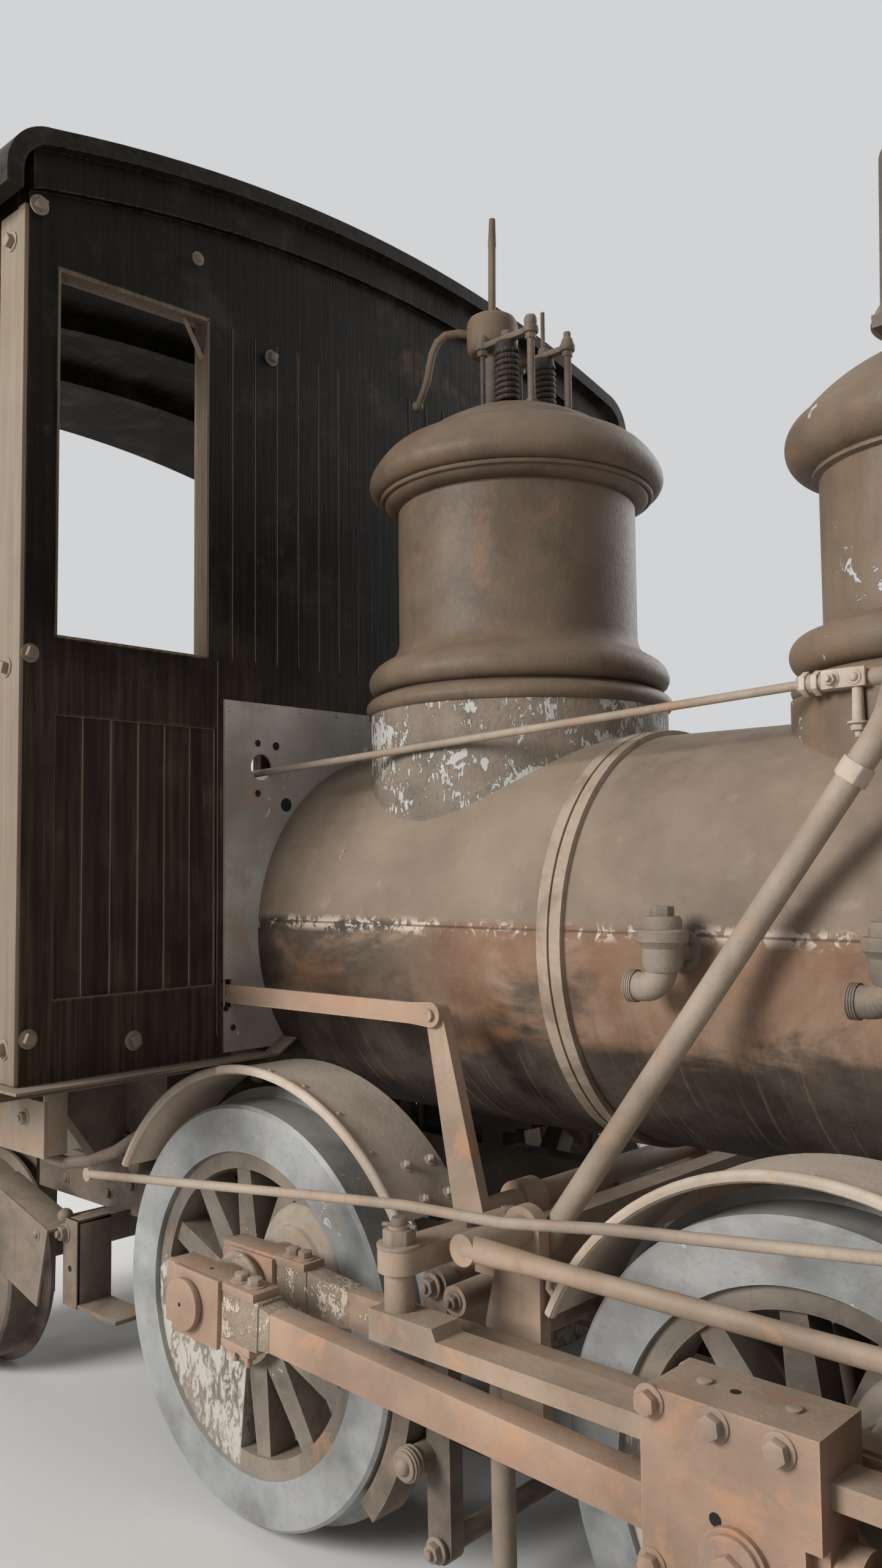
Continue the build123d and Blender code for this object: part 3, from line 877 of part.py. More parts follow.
# Safety valves and whistle
COILS, COIL_R, STUD_R, NUT_R, NUT_DEPTH, YOKE_PLATE = 7, 7.0, 7.0, 13.0, 14.0, 20.0
SPINDLE_R, CUP_DEPTH, WHISTLE_LOW, WHISTLE_TOP, TRIP_R = 11.0, 92.0, 140.0, 477.0, 11.0
valve_x = STEAM_DOME_X + VALVE_AHEAD
deck = steam_top + FLANGE_THICK
with BuildPart() as valves:
    turned(STEAM_DOME_X, 0, (
        (0, steam_top), (STEAM_FLAT_R - FLANGE_SET, steam_top), (STEAM_FLAT_R - FLANGE_SET, deck), (0, deck),
    ))
    stud_places = (valve_x - STUD_PITCH / 2, valve_x + STUD_PITCH / 2)
    for y in (-VALVE_PITCH / 2, VALVE_PITCH / 2):
        coil_pitch = SPRING_HEIGHT / COILS
        coils = [(0, deck)]
        for i in range(COILS):
            z = deck + i * coil_pitch
            coils += [
                (SPRING_R - COIL_R, z), (SPRING_R, z + coil_pitch * 0.25), (SPRING_R, z + coil_pitch * 0.65),
                (SPRING_R - COIL_R, z + coil_pitch * 0.9),
            ]
        yoke_low = deck + SPRING_HEIGHT
        turned(valve_x, y, (*coils, (SPRING_R - COIL_R, yoke_low), (0, yoke_low)))
        with BuildSketch(Plane.XY.offset(yoke_low)) as yoke:
            for x, radius in zip((*stud_places, valve_x), (STUD_R + 9, STUD_R + 9, SPRING_R)):
                with Locations((x, y)):
                    Circle(radius)
            make_hull()
        extrude(yoke.sketch, amount=YOKE_PLATE)
        for x in stud_places:
            bar((x, y, deck - FLANGE_THICK / 2), (x, y, yoke_low + YOKE_PLATE + 2 * NUT_DEPTH), STUD_R)
            with BuildSketch(Plane.XY.offset(yoke_low + YOKE_PLATE)) as nut:
                with Locations((x, y)):
                    RegularPolygon(NUT_R, 6)
            extrude(nut.sketch, amount=NUT_DEPTH)
        bar((valve_x, y, yoke_low), (valve_x, y, yoke_low + YOKE_PLATE + NUT_DEPTH), NUT_R)
    y = VALVE_PITCH / 2
    bar((valve_x, y, yoke_low), (valve_x, y, deck + SPRING_HEIGHT * 2.1), STUD_R - 1)
    cup_x, cup_low = STEAM_DOME_X - WHISTLE_BACK, deck + WHISTLE_LOW
    turned(cup_x, 0, (
        (0, deck), (24, deck), (24, cup_low - 70), (30, cup_low - 62), (WHISTLE_R, cup_low),
        (WHISTLE_R, cup_low + CUP_DEPTH), (WHISTLE_R - 8, cup_low + CUP_DEPTH),
        (WHISTLE_R - 8, cup_low + CUP_DEPTH - 16),
        (SPINDLE_R, cup_low + CUP_DEPTH - 16), (SPINDLE_R, deck + WHISTLE_TOP), (0, deck + WHISTLE_TOP),
    ))
    trip_z = cup_low + CUP_DEPTH * 0.3
    tube(
        (
            (cup_x - WHISTLE_R * 0.6, -WHISTLE_R * 0.5, trip_z), (cup_x - 128, -104, trip_z + 6),
            (cup_x - 150, -124, deck - 52),
        ), TRIP_R, 45,
    )
    with Locations((cup_x - 150, -124, deck - 52)):
        Sphere(TRIP_R + 5)
save(valves, "safety_valves")

# Bell
BELL_PIN_RISE, BELL_CHEEK_IN, BELL_CHEEK = 320.0, 190.0, 25.0
BELL_PIN_R, BELL_BASE, BELL_FOOT = 18.0, 25.0, 60.0
bell_z = sand_flat + BELL_PIN_RISE
with BuildPart() as bell_stand:
    cheek_out = BELL_CHEEK_IN + BELL_CHEEK
    box(
        SAND_DOME_X - BELL_FOOT, SAND_DOME_X + BELL_FOOT, -cheek_out, cheek_out, sand_flat,
        sand_flat + BELL_BASE,
    )
    for side, sign in SIDES:
        link(
            sign, BELL_CHEEK_IN, BELL_CHEEK, (SAND_DOME_X, bell_z, 2 * BELL_PIN_R),
            (SAND_DOME_X - 30, sand_flat + 14, 13), (SAND_DOME_X + 30, sand_flat + 14, 13),
        )
    cross_shaft(SAND_DOME_X, bell_z, BELL_PIN_R + RUNNING_GAP, -cheek_out - 5, cheek_out + 5, Mode.SUBTRACT)
save(bell_stand, "bell_stand")

with BuildPart() as bell:
    turned(SAND_DOME_X, 0, (
        (0, bell_z - 55), (60, bell_z - 55), (85, bell_z - 195), (125, bell_z - 245), (140, bell_z - 245),
        (132, bell_z - 225), (100, bell_z - 175), (75, bell_z - 35), (40, bell_z - 15), (30, bell_z + 65),
        (0, bell_z + 65),
    ))
    cross_shaft(SAND_DOME_X, bell_z, BELL_PIN_R, -cheek_out - 7, cheek_out + 7)
    box(
        SAND_DOME_X - BELL_PIN_R, SAND_DOME_X + BELL_PIN_R, -BELL_CHEEK_IN + 5, BELL_CHEEK_IN - 5,
        bell_z - 15, bell_z + 15,
    )
save(bell, "bell")

# Boiler feed and sand
CHECK_AHEAD, CHECK_PITCH, CHECK_Y, CHECK_Z, CHECK_R, ELBOW_R = 273.0, 340.0, 545.0, BOILER_Z + 4, 38.0, 26.0
with BuildPart() as check_valves:
    for side, sign in SIDES:
        for x in (LAP_X + CHECK_AHEAD, LAP_X + CHECK_AHEAD + CHECK_PITCH):
            y = sign * CHECK_Y
            bar((x, sign * (BARREL_FRONT_R - 20), CHECK_Z), (x, y, CHECK_Z), CHECK_R - 6)
            bar(
                (x, sign * (BARREL_FRONT_R - 20), CHECK_Z), (x, sign * (BARREL_FRONT_R + 14), CHECK_Z),
                CHECK_R + 14,
            )
            turned(x, y, (
                (0, CHECK_Z - 62), (CHECK_R - 6, CHECK_Z - 62), (CHECK_R, CHECK_Z - 50), (CHECK_R, CHECK_Z),
                (CHECK_R + 7, CHECK_Z + 5), (CHECK_R + 7, CHECK_Z + 30), (CHECK_R - 8, CHECK_Z + 40),
                (CHECK_R - 8, CHECK_Z + 52), (0, CHECK_Z + 52),
            ))
            with BuildSketch(Plane.XY.offset(CHECK_Z + 52)) as hexagon:
                with Locations((x, y)):
                    RegularPolygon(CHECK_R - 12, 6)
            extrude(hexagon.sketch, amount=20)
            elbow_z = CHECK_Z - 98
            tube(((x, y, CHECK_Z - 50), (x, y, elbow_z), (x - 95, y, elbow_z)), ELBOW_R, ELBOW_R + 8)
            bar((x - 92, y, elbow_z), (x - 68, y, elbow_z), ELBOW_R + 7)
    barrel_cut(LAP_X, SMOKEBOX_BACK, BARREL_FRONT_R)
save(check_valves, "check_valves")

SAND_PIPE_R, SAND_BEND, SAND_CLEVIS_R = 24.0, 80.0, 18.0
SAND_PIPE = ((0, 300, 2), (60, 500, -98), (-605, 585, -1053), (-725, 560, -1243), (-738, 540, -1758))
with BuildPart() as sand_gear:
    for side, sign in SIDES:
        run = [(SAND_DOME_X + x, sign * y, SAND_TOP + z) for x, y, z in SAND_PIPE]
        tube(run, SAND_PIPE_R, SAND_BEND)
    clevis_x, clevis_z = SAND_DOME_X - 181, SAND_TOP + 10
    bar((clevis_x, -SAND_ROD_Y, clevis_z), (SAND_DOME_X, -SAND_ROD_Y, clevis_z), SAND_CLEVIS_R)
    bar((CAB_FRONT - 100, -SAND_ROD_Y - 135, clevis_z - 93), (clevis_x, -SAND_ROD_Y, clevis_z), SAND_ROD_R)
    bar((SAND_DOME_X, 0, SADDLE_FOOT), (SAND_DOME_X, 0, SAND_TOP + 70), SAND_SADDLE_R, Mode.SUBTRACT)
save(sand_gear, "sand_gear")

# Valve gear
for side, sign in SIDES:
    with BuildPart() as rocker:
        boss = (ROCKER_X, ROCKER_Z, 66)
        link(sign, ROCKER_Y, ROCKER_THICK, (ROCKER_PIN_X, ROCKER_PIN_Z, ROCKER_PIN_R + 14), boss)
        link(sign, ROCKER_Y, ROCKER_THICK, (ROCKER_X + 40, ROCKER_Z - 210, ROCKER_PIN_R + 4), boss)
        cross_shaft(ROCKER_X, ROCKER_Z, ROCKER_SHAFT_R, sign * FRAME_OUT, sign * ROCKER_Y)
        cross_shaft(
            ROCKER_PIN_X, ROCKER_PIN_Z, ROCKER_PIN_R, sign * ROCKER_Y,
            sign * (VALVE_ROD_Y + VALVE_ROD_R + 4),
        )
        turned_along(sign * VALVE_ROD_Y, ROCKER_PIN_Z, (
            (ROCKER_PIN_X, 0), (ROCKER_PIN_X, VALVE_ROD_R + 7), (ROCKER_PIN_X + 60, VALVE_ROD_R + 5),
            (ROCKER_PIN_X + 190, VALVE_ROD_R), (chest_back, VALVE_ROD_R), (chest_back, 0),
        ))
    save(rocker, f"valve_rod_{side}")

LEVER_X, LEVER_RISE, LEVER_TILT, LEVER_Y, LEVER_THICK, LIFT_SHAFT_R = 40.0, 342.0, 93.0, 528.0, 26.0, 28.0
REACH_Z = CAB_LOW + REACH_ROD_RISE
shaft_z = AXLE_Z + LEVER_RISE
with BuildPart() as reverse_shaft:
    cross_shaft(LEVER_X, shaft_z, LIFT_SHAFT_R, -LEVER_Y - LEVER_THICK, FRAME_IN - 30)
    for y in (-FRAME_OUT, FRAME_IN - 30):
        with BuildSketch(Plane.XZ.offset(-y - 60)) as bracket:
            with Locations((LEVER_X, shaft_z)):
                Circle(LIFT_SHAFT_R + 16)
            with Locations((LEVER_X, RAIL_TOP + 6)):
                Rectangle(2 * (LIFT_SHAFT_R + 22), 12)
            make_hull()
        extrude(bracket.sketch, amount=60)
    link(-1, LEVER_Y, LEVER_THICK, (LEVER_X, shaft_z, 40), (LEVER_X - LEVER_TILT, REACH_Z, 24))
    cross_shaft(LEVER_X - LEVER_TILT, REACH_Z, 12, -LEVER_Y, -REACH_ROD_Y - REACH_ROD_THICK - 8)
save(reverse_shaft, "reverse_shaft")

HAND_X = FIREBOX_BACK + 400
with BuildPart() as reach_rod:
    pin_x = LEVER_X - LEVER_TILT
    link(-1, REACH_ROD_Y, REACH_ROD_THICK, (pin_x, REACH_Z, 26), (pin_x - 60, REACH_Z, REACH_ROD_DEPTH / 2))
    box(
        HAND_X, pin_x - 60, -REACH_ROD_Y, -REACH_ROD_Y - REACH_ROD_THICK,
        REACH_Z - REACH_ROD_DEPTH / 2, REACH_Z + REACH_ROD_DEPTH / 2,
    )
    cross_shaft(
        pin_x, REACH_Z, 12 + RUNNING_GAP, -LEVER_Y, -REACH_ROD_Y - REACH_ROD_THICK - 12, Mode.SUBTRACT,
    )
save(reach_rod, "reach_rod")

COCK_ROD_Y, COCK_ROD_R = 930.0, 9.0
COCK_RUN = ((-762, -217), (-6, -133), (227, -109), (443, -98), (655, -68), (1059, -26), (CYLINDER_X - 200, 1))
with BuildPart() as cock_rod:
    tube([(x, -COCK_ROD_Y, CAB_LOW + z) for x, z in COCK_RUN], COCK_ROD_R, 150)
    cross_shaft(COCK_RUN[0][0] - 6, CAB_LOW + COCK_RUN[0][1] - 1, 15, -COCK_ROD_Y - 6, -COCK_ROD_Y + 6)
    chest_lid = WRIST_Z + CHEST_LOW + CHEST_HEIGHT + LID_THICK
    box(
        CYLINDER_X - 215, CYLINDER_X - 185, -COCK_ROD_Y - 15, -COCK_ROD_Y + 15, chest_lid,
        CAB_LOW + COCK_ROD_R + 4,
    )
save(cock_rod, "cock_rod")

# Cab
EAVE_LOW = SHOULDER_Z - EAVE_DEPTH - EAVE_LIP
ROOF_TOP = SHOULDER_Z + ROOF_CROWN


def roof_face(inset, drop=0.0, mode=Mode.ADD):
    """Face under the roof's curve, this far inside it and below it, down to the eaves."""
    edge, corner = ROOF_HALF - inset, ROOF_HALF - EAVE_CORNER
    eave, shoulder = SHOULDER_Z - EAVE_DEPTH - drop, SHOULDER_Z - inset - drop
    bend = (edge - 0.29 * (edge - corner), eave + 0.66 * (shoulder - eave))
    with BuildLine() as outline:
        Line((-edge, EAVE_LOW - drop), (-edge, eave))
        ThreePointArc((-edge, eave), (-bend[0], bend[1]), (-corner, shoulder))
        ThreePointArc((-corner, shoulder), (0, ROOF_TOP - inset - drop), (corner, shoulder))
        ThreePointArc((corner, shoulder), bend, (edge, eave))
        Line((edge, eave), (edge, EAVE_LOW - drop))
        Line((edge, EAVE_LOW - drop), (-edge, EAVE_LOW - drop))
    make_face(outline.edges(), mode=mode)


def wall_face(y0, y1):
    """Face of a cab wall between two places across the engine, from the floor up to the roof's lining."""
    roof_face(ROOF_THICK)
    with Locations((0, (CAB_LOW + EAVE_LOW) / 2)):
        Rectangle(2 * CAB_HALF, EAVE_LOW - CAB_LOW)
    with Locations(((y0 + y1) / 2, (CAB_LOW + ROOF_TOP) / 2)):
        Rectangle(abs(y1 - y0), ROOF_TOP - CAB_LOW, mode=Mode.INTERSECT)


ROOF_BACK, ROOF_LENGTH = CAB_BACK - ROOF_BEHIND, CAB_LENGTH + ROOF_BEHIND + ROOF_AHEAD
INNER_HALF = CAB_HALF - WALL
with BuildPart() as roof:
    with BuildSketch(Plane.YZ.offset(ROOF_BACK)) as shell:
        roof_face(0)
        roof_face(ROOF_THICK, mode=Mode.SUBTRACT)
    extrude(shell.sketch, amount=ROOF_LENGTH)
    rib_pitch = (CAB_LENGTH - WALL) / (RIBS + 1)
    for i in range(RIBS):
        with BuildSketch(Plane.YZ.offset(CAB_BACK + (i + 1) * rib_pitch - RIB_WIDTH / 2)) as rib:
            roof_face(ROOF_THICK)
            roof_face(ROOF_THICK, drop=RIB_DEPTH, mode=Mode.SUBTRACT)
            with Locations((0, ROOF_TOP - 200)):
                Rectangle(2 * INNER_HALF, 400, mode=Mode.INTERSECT)
        extrude(rib.sketch, amount=RIB_WIDTH)
save(roof, "cab_roof")

WINDOW_OUT = CAB_HALF - POST
WINDOW_IN = WINDOW_OUT - WINDOW_WIDTH
WINDOW_TOP = SILL + WINDOW_HEIGHT
PANEL_LOW, PANEL_HIGH, GROOVE_DEPTH = CAB_LOW + BOARD_RISE, SILL - BELT_DEPTH, 4.0
PANEL_SET, BOARD_TOP = 5.0, 14.0
PLATE_BORDER, SLOT_WIDTH, HOLE_Y, HOLE_RISE = 27.0, REACH_ROD_THICK + 2 * SLOT_GAP, 455.0, 723.0
with BuildPart() as cab_front:
    with BuildSketch(Plane.YZ.offset(CAB_FRONT - WALL)) as front:
        wall_face(-CAB_HALF, CAB_HALF)
        for side, sign in SIDES:
            with BuildLine() as opening:
                Polyline(
                    (sign * WINDOW_IN, SILL), (sign * WINDOW_OUT, SILL), (sign * WINDOW_OUT, WINDOW_TOP),
                    (sign * WINDOW_IN, WINDOW_TOP + WINDOW_SLOPE), close=True,
                )
            make_face(mode=Mode.SUBTRACT)
        with Locations((0, CAB_LOW + (PLATE_HIGH - PLATE_BORDER) / 2)):
            Rectangle(2 * (PLATE_HALF - PLATE_BORDER), PLATE_HIGH - PLATE_BORDER, mode=Mode.SUBTRACT)
        with Locations((-REACH_ROD_Y - REACH_ROD_THICK / 2, REACH_Z)):
            Rectangle(SLOT_WIDTH + 16, REACH_ROD_DEPTH + 32, mode=Mode.SUBTRACT)
    extrude(front.sketch, amount=WALL)
    with BuildSketch(Plane.YZ.offset(CAB_FRONT)) as cornice:
        wall_face(-CAB_HALF, CAB_HALF)
        roof_face(ROOF_THICK, drop=CORNICE_DEPTH, mode=Mode.SUBTRACT)
        with Locations((0, (CAB_LOW + EAVE_LOW - CORNICE_DEPTH) / 2)):
            Rectangle(2 * CAB_HALF, EAVE_LOW - CORNICE_DEPTH - CAB_LOW, mode=Mode.SUBTRACT)
    extrude(cornice.sketch, amount=CORNICE_THICK)
    panel_in = PLATE_HALF + 18
    board = (WINDOW_OUT - PANEL_SET - panel_in) / BOARDS
    face = CAB_FRONT - PANEL_DEPTH
    for side, sign in SIDES:
        box(
            face, CAB_FRONT, sign * panel_in, sign * (WINDOW_OUT - PANEL_SET), PANEL_LOW, PANEL_HIGH,
            Mode.SUBTRACT,
        )
        for i in range(1, BOARDS):
            y = sign * (panel_in + i * board)
            box(
                face - GROOVE_DEPTH, face, y - GROOVE / 2, y + GROOVE / 2, PANEL_LOW, PANEL_HIGH,
                Mode.SUBTRACT,
            )
        for i in range(BOARDS + 1):
            y = sign * (WINDOW_IN - POST - i * board)
            box(
                CAB_FRONT - GROOVE_DEPTH, CAB_FRONT, y - GROOVE / 2, y + GROOVE / 2, SILL,
                WINDOW_TOP + BOARD_TOP,
                Mode.SUBTRACT,
            )
save(cab_front, "cab_front")

with BuildPart() as cab_plate:
    with BuildSketch(Plane.YZ.offset(CAB_FRONT)) as sheet:
        with Locations((0, CAB_LOW + (PLATE_LOW + PLATE_HIGH) / 2)):
            Rectangle(2 * PLATE_HALF, PLATE_HIGH - PLATE_LOW)
        with Locations((0, BOILER_Z)):
            Circle(BARREL_REAR_R, mode=Mode.SUBTRACT)
        with Locations((-HOLE_Y, CAB_LOW + HOLE_RISE)):
            Circle(SAND_ROD_HOLE_R, mode=Mode.SUBTRACT)
        with Locations((-REACH_ROD_Y - REACH_ROD_THICK / 2, REACH_Z)):
            Rectangle(SLOT_WIDTH, REACH_ROD_DEPTH + 26, mode=Mode.SUBTRACT)
    extrude(sheet.sketch, amount=CAB_PLATE_THICK)
save(cab_plate, "cab_plate")

REAR_RETURN, SIDE_BOARDS = 162.0, 20
for side, sign in SIDES:
    with BuildPart() as cab_side:
        with BuildSketch(Plane.YZ.offset(CAB_BACK)) as wall:
            wall_face(sign * INNER_HALF, sign * CAB_HALF)
        extrude(wall.sketch, amount=CAB_LENGTH - WALL)
        with BuildSketch(Plane.YZ.offset(CAB_BACK)) as corner:
            wall_face(sign * (INNER_HALF - REAR_RETURN), sign * CAB_HALF)
        extrude(corner.sketch, amount=WALL)
        front_x = CAB_FRONT - SIDE_POST
        for x in (front_x, front_x - SIDE_WINDOW - SIDE_PIER):
            box(
                x - SIDE_WINDOW, x, sign * (INNER_HALF - 5), sign * (CAB_HALF + 5), SILL, WINDOW_TOP,
                Mode.SUBTRACT,
            )
        panel_back, panel_front = CAB_BACK + POST, CAB_FRONT - WALL - POST
        out = CAB_HALF - PANEL_DEPTH
        box(panel_back, panel_front, sign * out, sign * CAB_HALF, PANEL_LOW, PANEL_HIGH, Mode.SUBTRACT)
        pitch = (panel_front - panel_back) / SIDE_BOARDS
        for i in range(1, SIDE_BOARDS):
            x = panel_back + i * pitch
            box(
                x - GROOVE / 2, x + GROOVE / 2, sign * (out - GROOVE_DEPTH), sign * out, PANEL_LOW,
                PANEL_HIGH,
                Mode.SUBTRACT,
            )
    save(cab_side, f"cab_side_{side}")

FLOOR_BEHIND, BARREL_ROOM, BOX_ROOM = 140.0, 365.0, FIREBOX_HALF + 15
APRON_BACK, APRON_LENGTH, APRON_THICK, APRON_KINK = CAB_FRONT - WALL, 110.0, 6.0, 445.0
UPTURN_RUN, UPTURN_RISE, HAND_R, HAND_TOP, HAND_THICK, QUADRANT_THICK = 104.0, 60.0, 420.0, 640.0, 12.0, 8.0
QUADRANT_IN, QUADRANT_WIDTH, QUADRANT_FIRST, QUADRANT_LAST = 330.0, 40.0, 55.0, 110.0
with BuildPart() as floor:
    with BuildSketch(Plane.XY.offset(FLOOR_LOW)) as boards:
        floor_back, step_front, step_back = CAB_BACK - FLOOR_BEHIND, FIREBOX_FRONT + 5, FIREBOX_BACK - 10
        with BuildLine():
            Polyline(
                (floor_back, -FLOOR_HALF), (APRON_BACK, -FLOOR_HALF), (APRON_BACK, -BARREL_ROOM),
                (step_front, -BARREL_ROOM), (step_front, -BOX_ROOM), (step_back, -BOX_ROOM),
                (step_back, BOX_ROOM),
                (step_front, BOX_ROOM), (step_front, BARREL_ROOM), (APRON_BACK, BARREL_ROOM),
                (APRON_BACK, FLOOR_HALF), (floor_back, FLOOR_HALF), close=True,
            )
        make_face()
    extrude(boards.sketch, amount=FLOOR_THICK)
    apron_low, turn_back = CAB_LOW - APRON_THICK, CAB_FRONT + CAB_PLATE_THICK + RUNNING_GAP
    apron_front = APRON_BACK + APRON_LENGTH
    for side, sign in SIDES:
        box(APRON_BACK, apron_front, sign * APRON_KINK, sign * FLOOR_HALF, apron_low, CAB_LOW)
        with BuildSketch(Plane.YZ.offset(turn_back)) as upturn:
            with BuildLine():
                Polyline(
                    (sign * APRON_KINK, CAB_LOW), (sign * APRON_KINK, apron_low),
                    (sign * (APRON_KINK - UPTURN_RUN), apron_low + UPTURN_RISE),
                    (sign * (APRON_KINK - UPTURN_RUN), CAB_LOW + UPTURN_RISE), close=True,
                )
            make_face()
        extrude(upturn.sketch, amount=apron_front - turn_back)
    barrel_cut(FIREBOX_FRONT, LAP_X, BARREL_REAR_R + SLOT_GAP)
    hand_in, foot_x, foot_z = REACH_ROD_Y - HAND_THICK, HAND_X - 12, CAB_LOW + 30
    grip_x, grip_z = HAND_X + 70, CAB_LOW + HAND_R
    link(-1, hand_in, HAND_THICK, (HAND_X + 18, REACH_Z, 24), (foot_x, foot_z, 30))
    link(-1, hand_in, HAND_THICK, (HAND_X + 18, REACH_Z, 22), (grip_x, grip_z, 14))
    grip_y = -hand_in - HAND_THICK / 2
    bar((grip_x, grip_y, grip_z), (grip_x + 35, grip_y, CAB_LOW + HAND_TOP), HAND_THICK)
    rack_in = hand_in - QUADRANT_THICK - 2
    rack_out = QUADRANT_IN + QUADRANT_WIDTH
    arc_band(
        -1, (foot_x, foot_z), QUADRANT_IN, rack_out, QUADRANT_FIRST, QUADRANT_LAST, rack_in, QUADRANT_THICK,
    )
    for angle in (QUADRANT_FIRST, QUADRANT_LAST):
        middle = QUADRANT_IN + QUADRANT_WIDTH / 2
        x, z = foot_x + middle * cos(radians(angle)), foot_z + middle * sin(radians(angle))
        box(x - 15, x + 15, -rack_in - QUADRANT_THICK, -rack_in, CAB_LOW, z)
save(floor, "cab_floor")
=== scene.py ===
"""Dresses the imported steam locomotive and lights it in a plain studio."""
import logging
import math
from dataclasses import dataclass
from enum import Enum

import bmesh
import bpy
from mathutils import Matrix, Vector


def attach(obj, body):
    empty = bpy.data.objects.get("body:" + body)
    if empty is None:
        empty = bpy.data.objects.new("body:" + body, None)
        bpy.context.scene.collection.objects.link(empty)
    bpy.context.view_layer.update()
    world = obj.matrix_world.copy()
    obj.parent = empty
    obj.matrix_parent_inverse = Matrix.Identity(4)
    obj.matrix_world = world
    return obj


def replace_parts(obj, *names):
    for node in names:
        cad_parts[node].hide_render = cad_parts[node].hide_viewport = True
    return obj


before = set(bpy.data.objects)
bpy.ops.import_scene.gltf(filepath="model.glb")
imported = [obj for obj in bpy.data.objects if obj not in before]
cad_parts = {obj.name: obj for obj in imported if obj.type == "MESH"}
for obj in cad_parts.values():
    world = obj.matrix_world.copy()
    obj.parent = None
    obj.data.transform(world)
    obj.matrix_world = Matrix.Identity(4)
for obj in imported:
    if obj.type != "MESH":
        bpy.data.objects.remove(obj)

logging.basicConfig(level=logging.INFO, format="%(message)s")
LOG = logging.getLogger("locomotive")

Colour = tuple[float, float, float]
Socket = bpy.types.NodeSocket
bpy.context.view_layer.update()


def rgba(colour: Colour) -> tuple[float, float, float, float]:
    """Returns the colour with a full alpha."""
    return (*colour, 1.0)


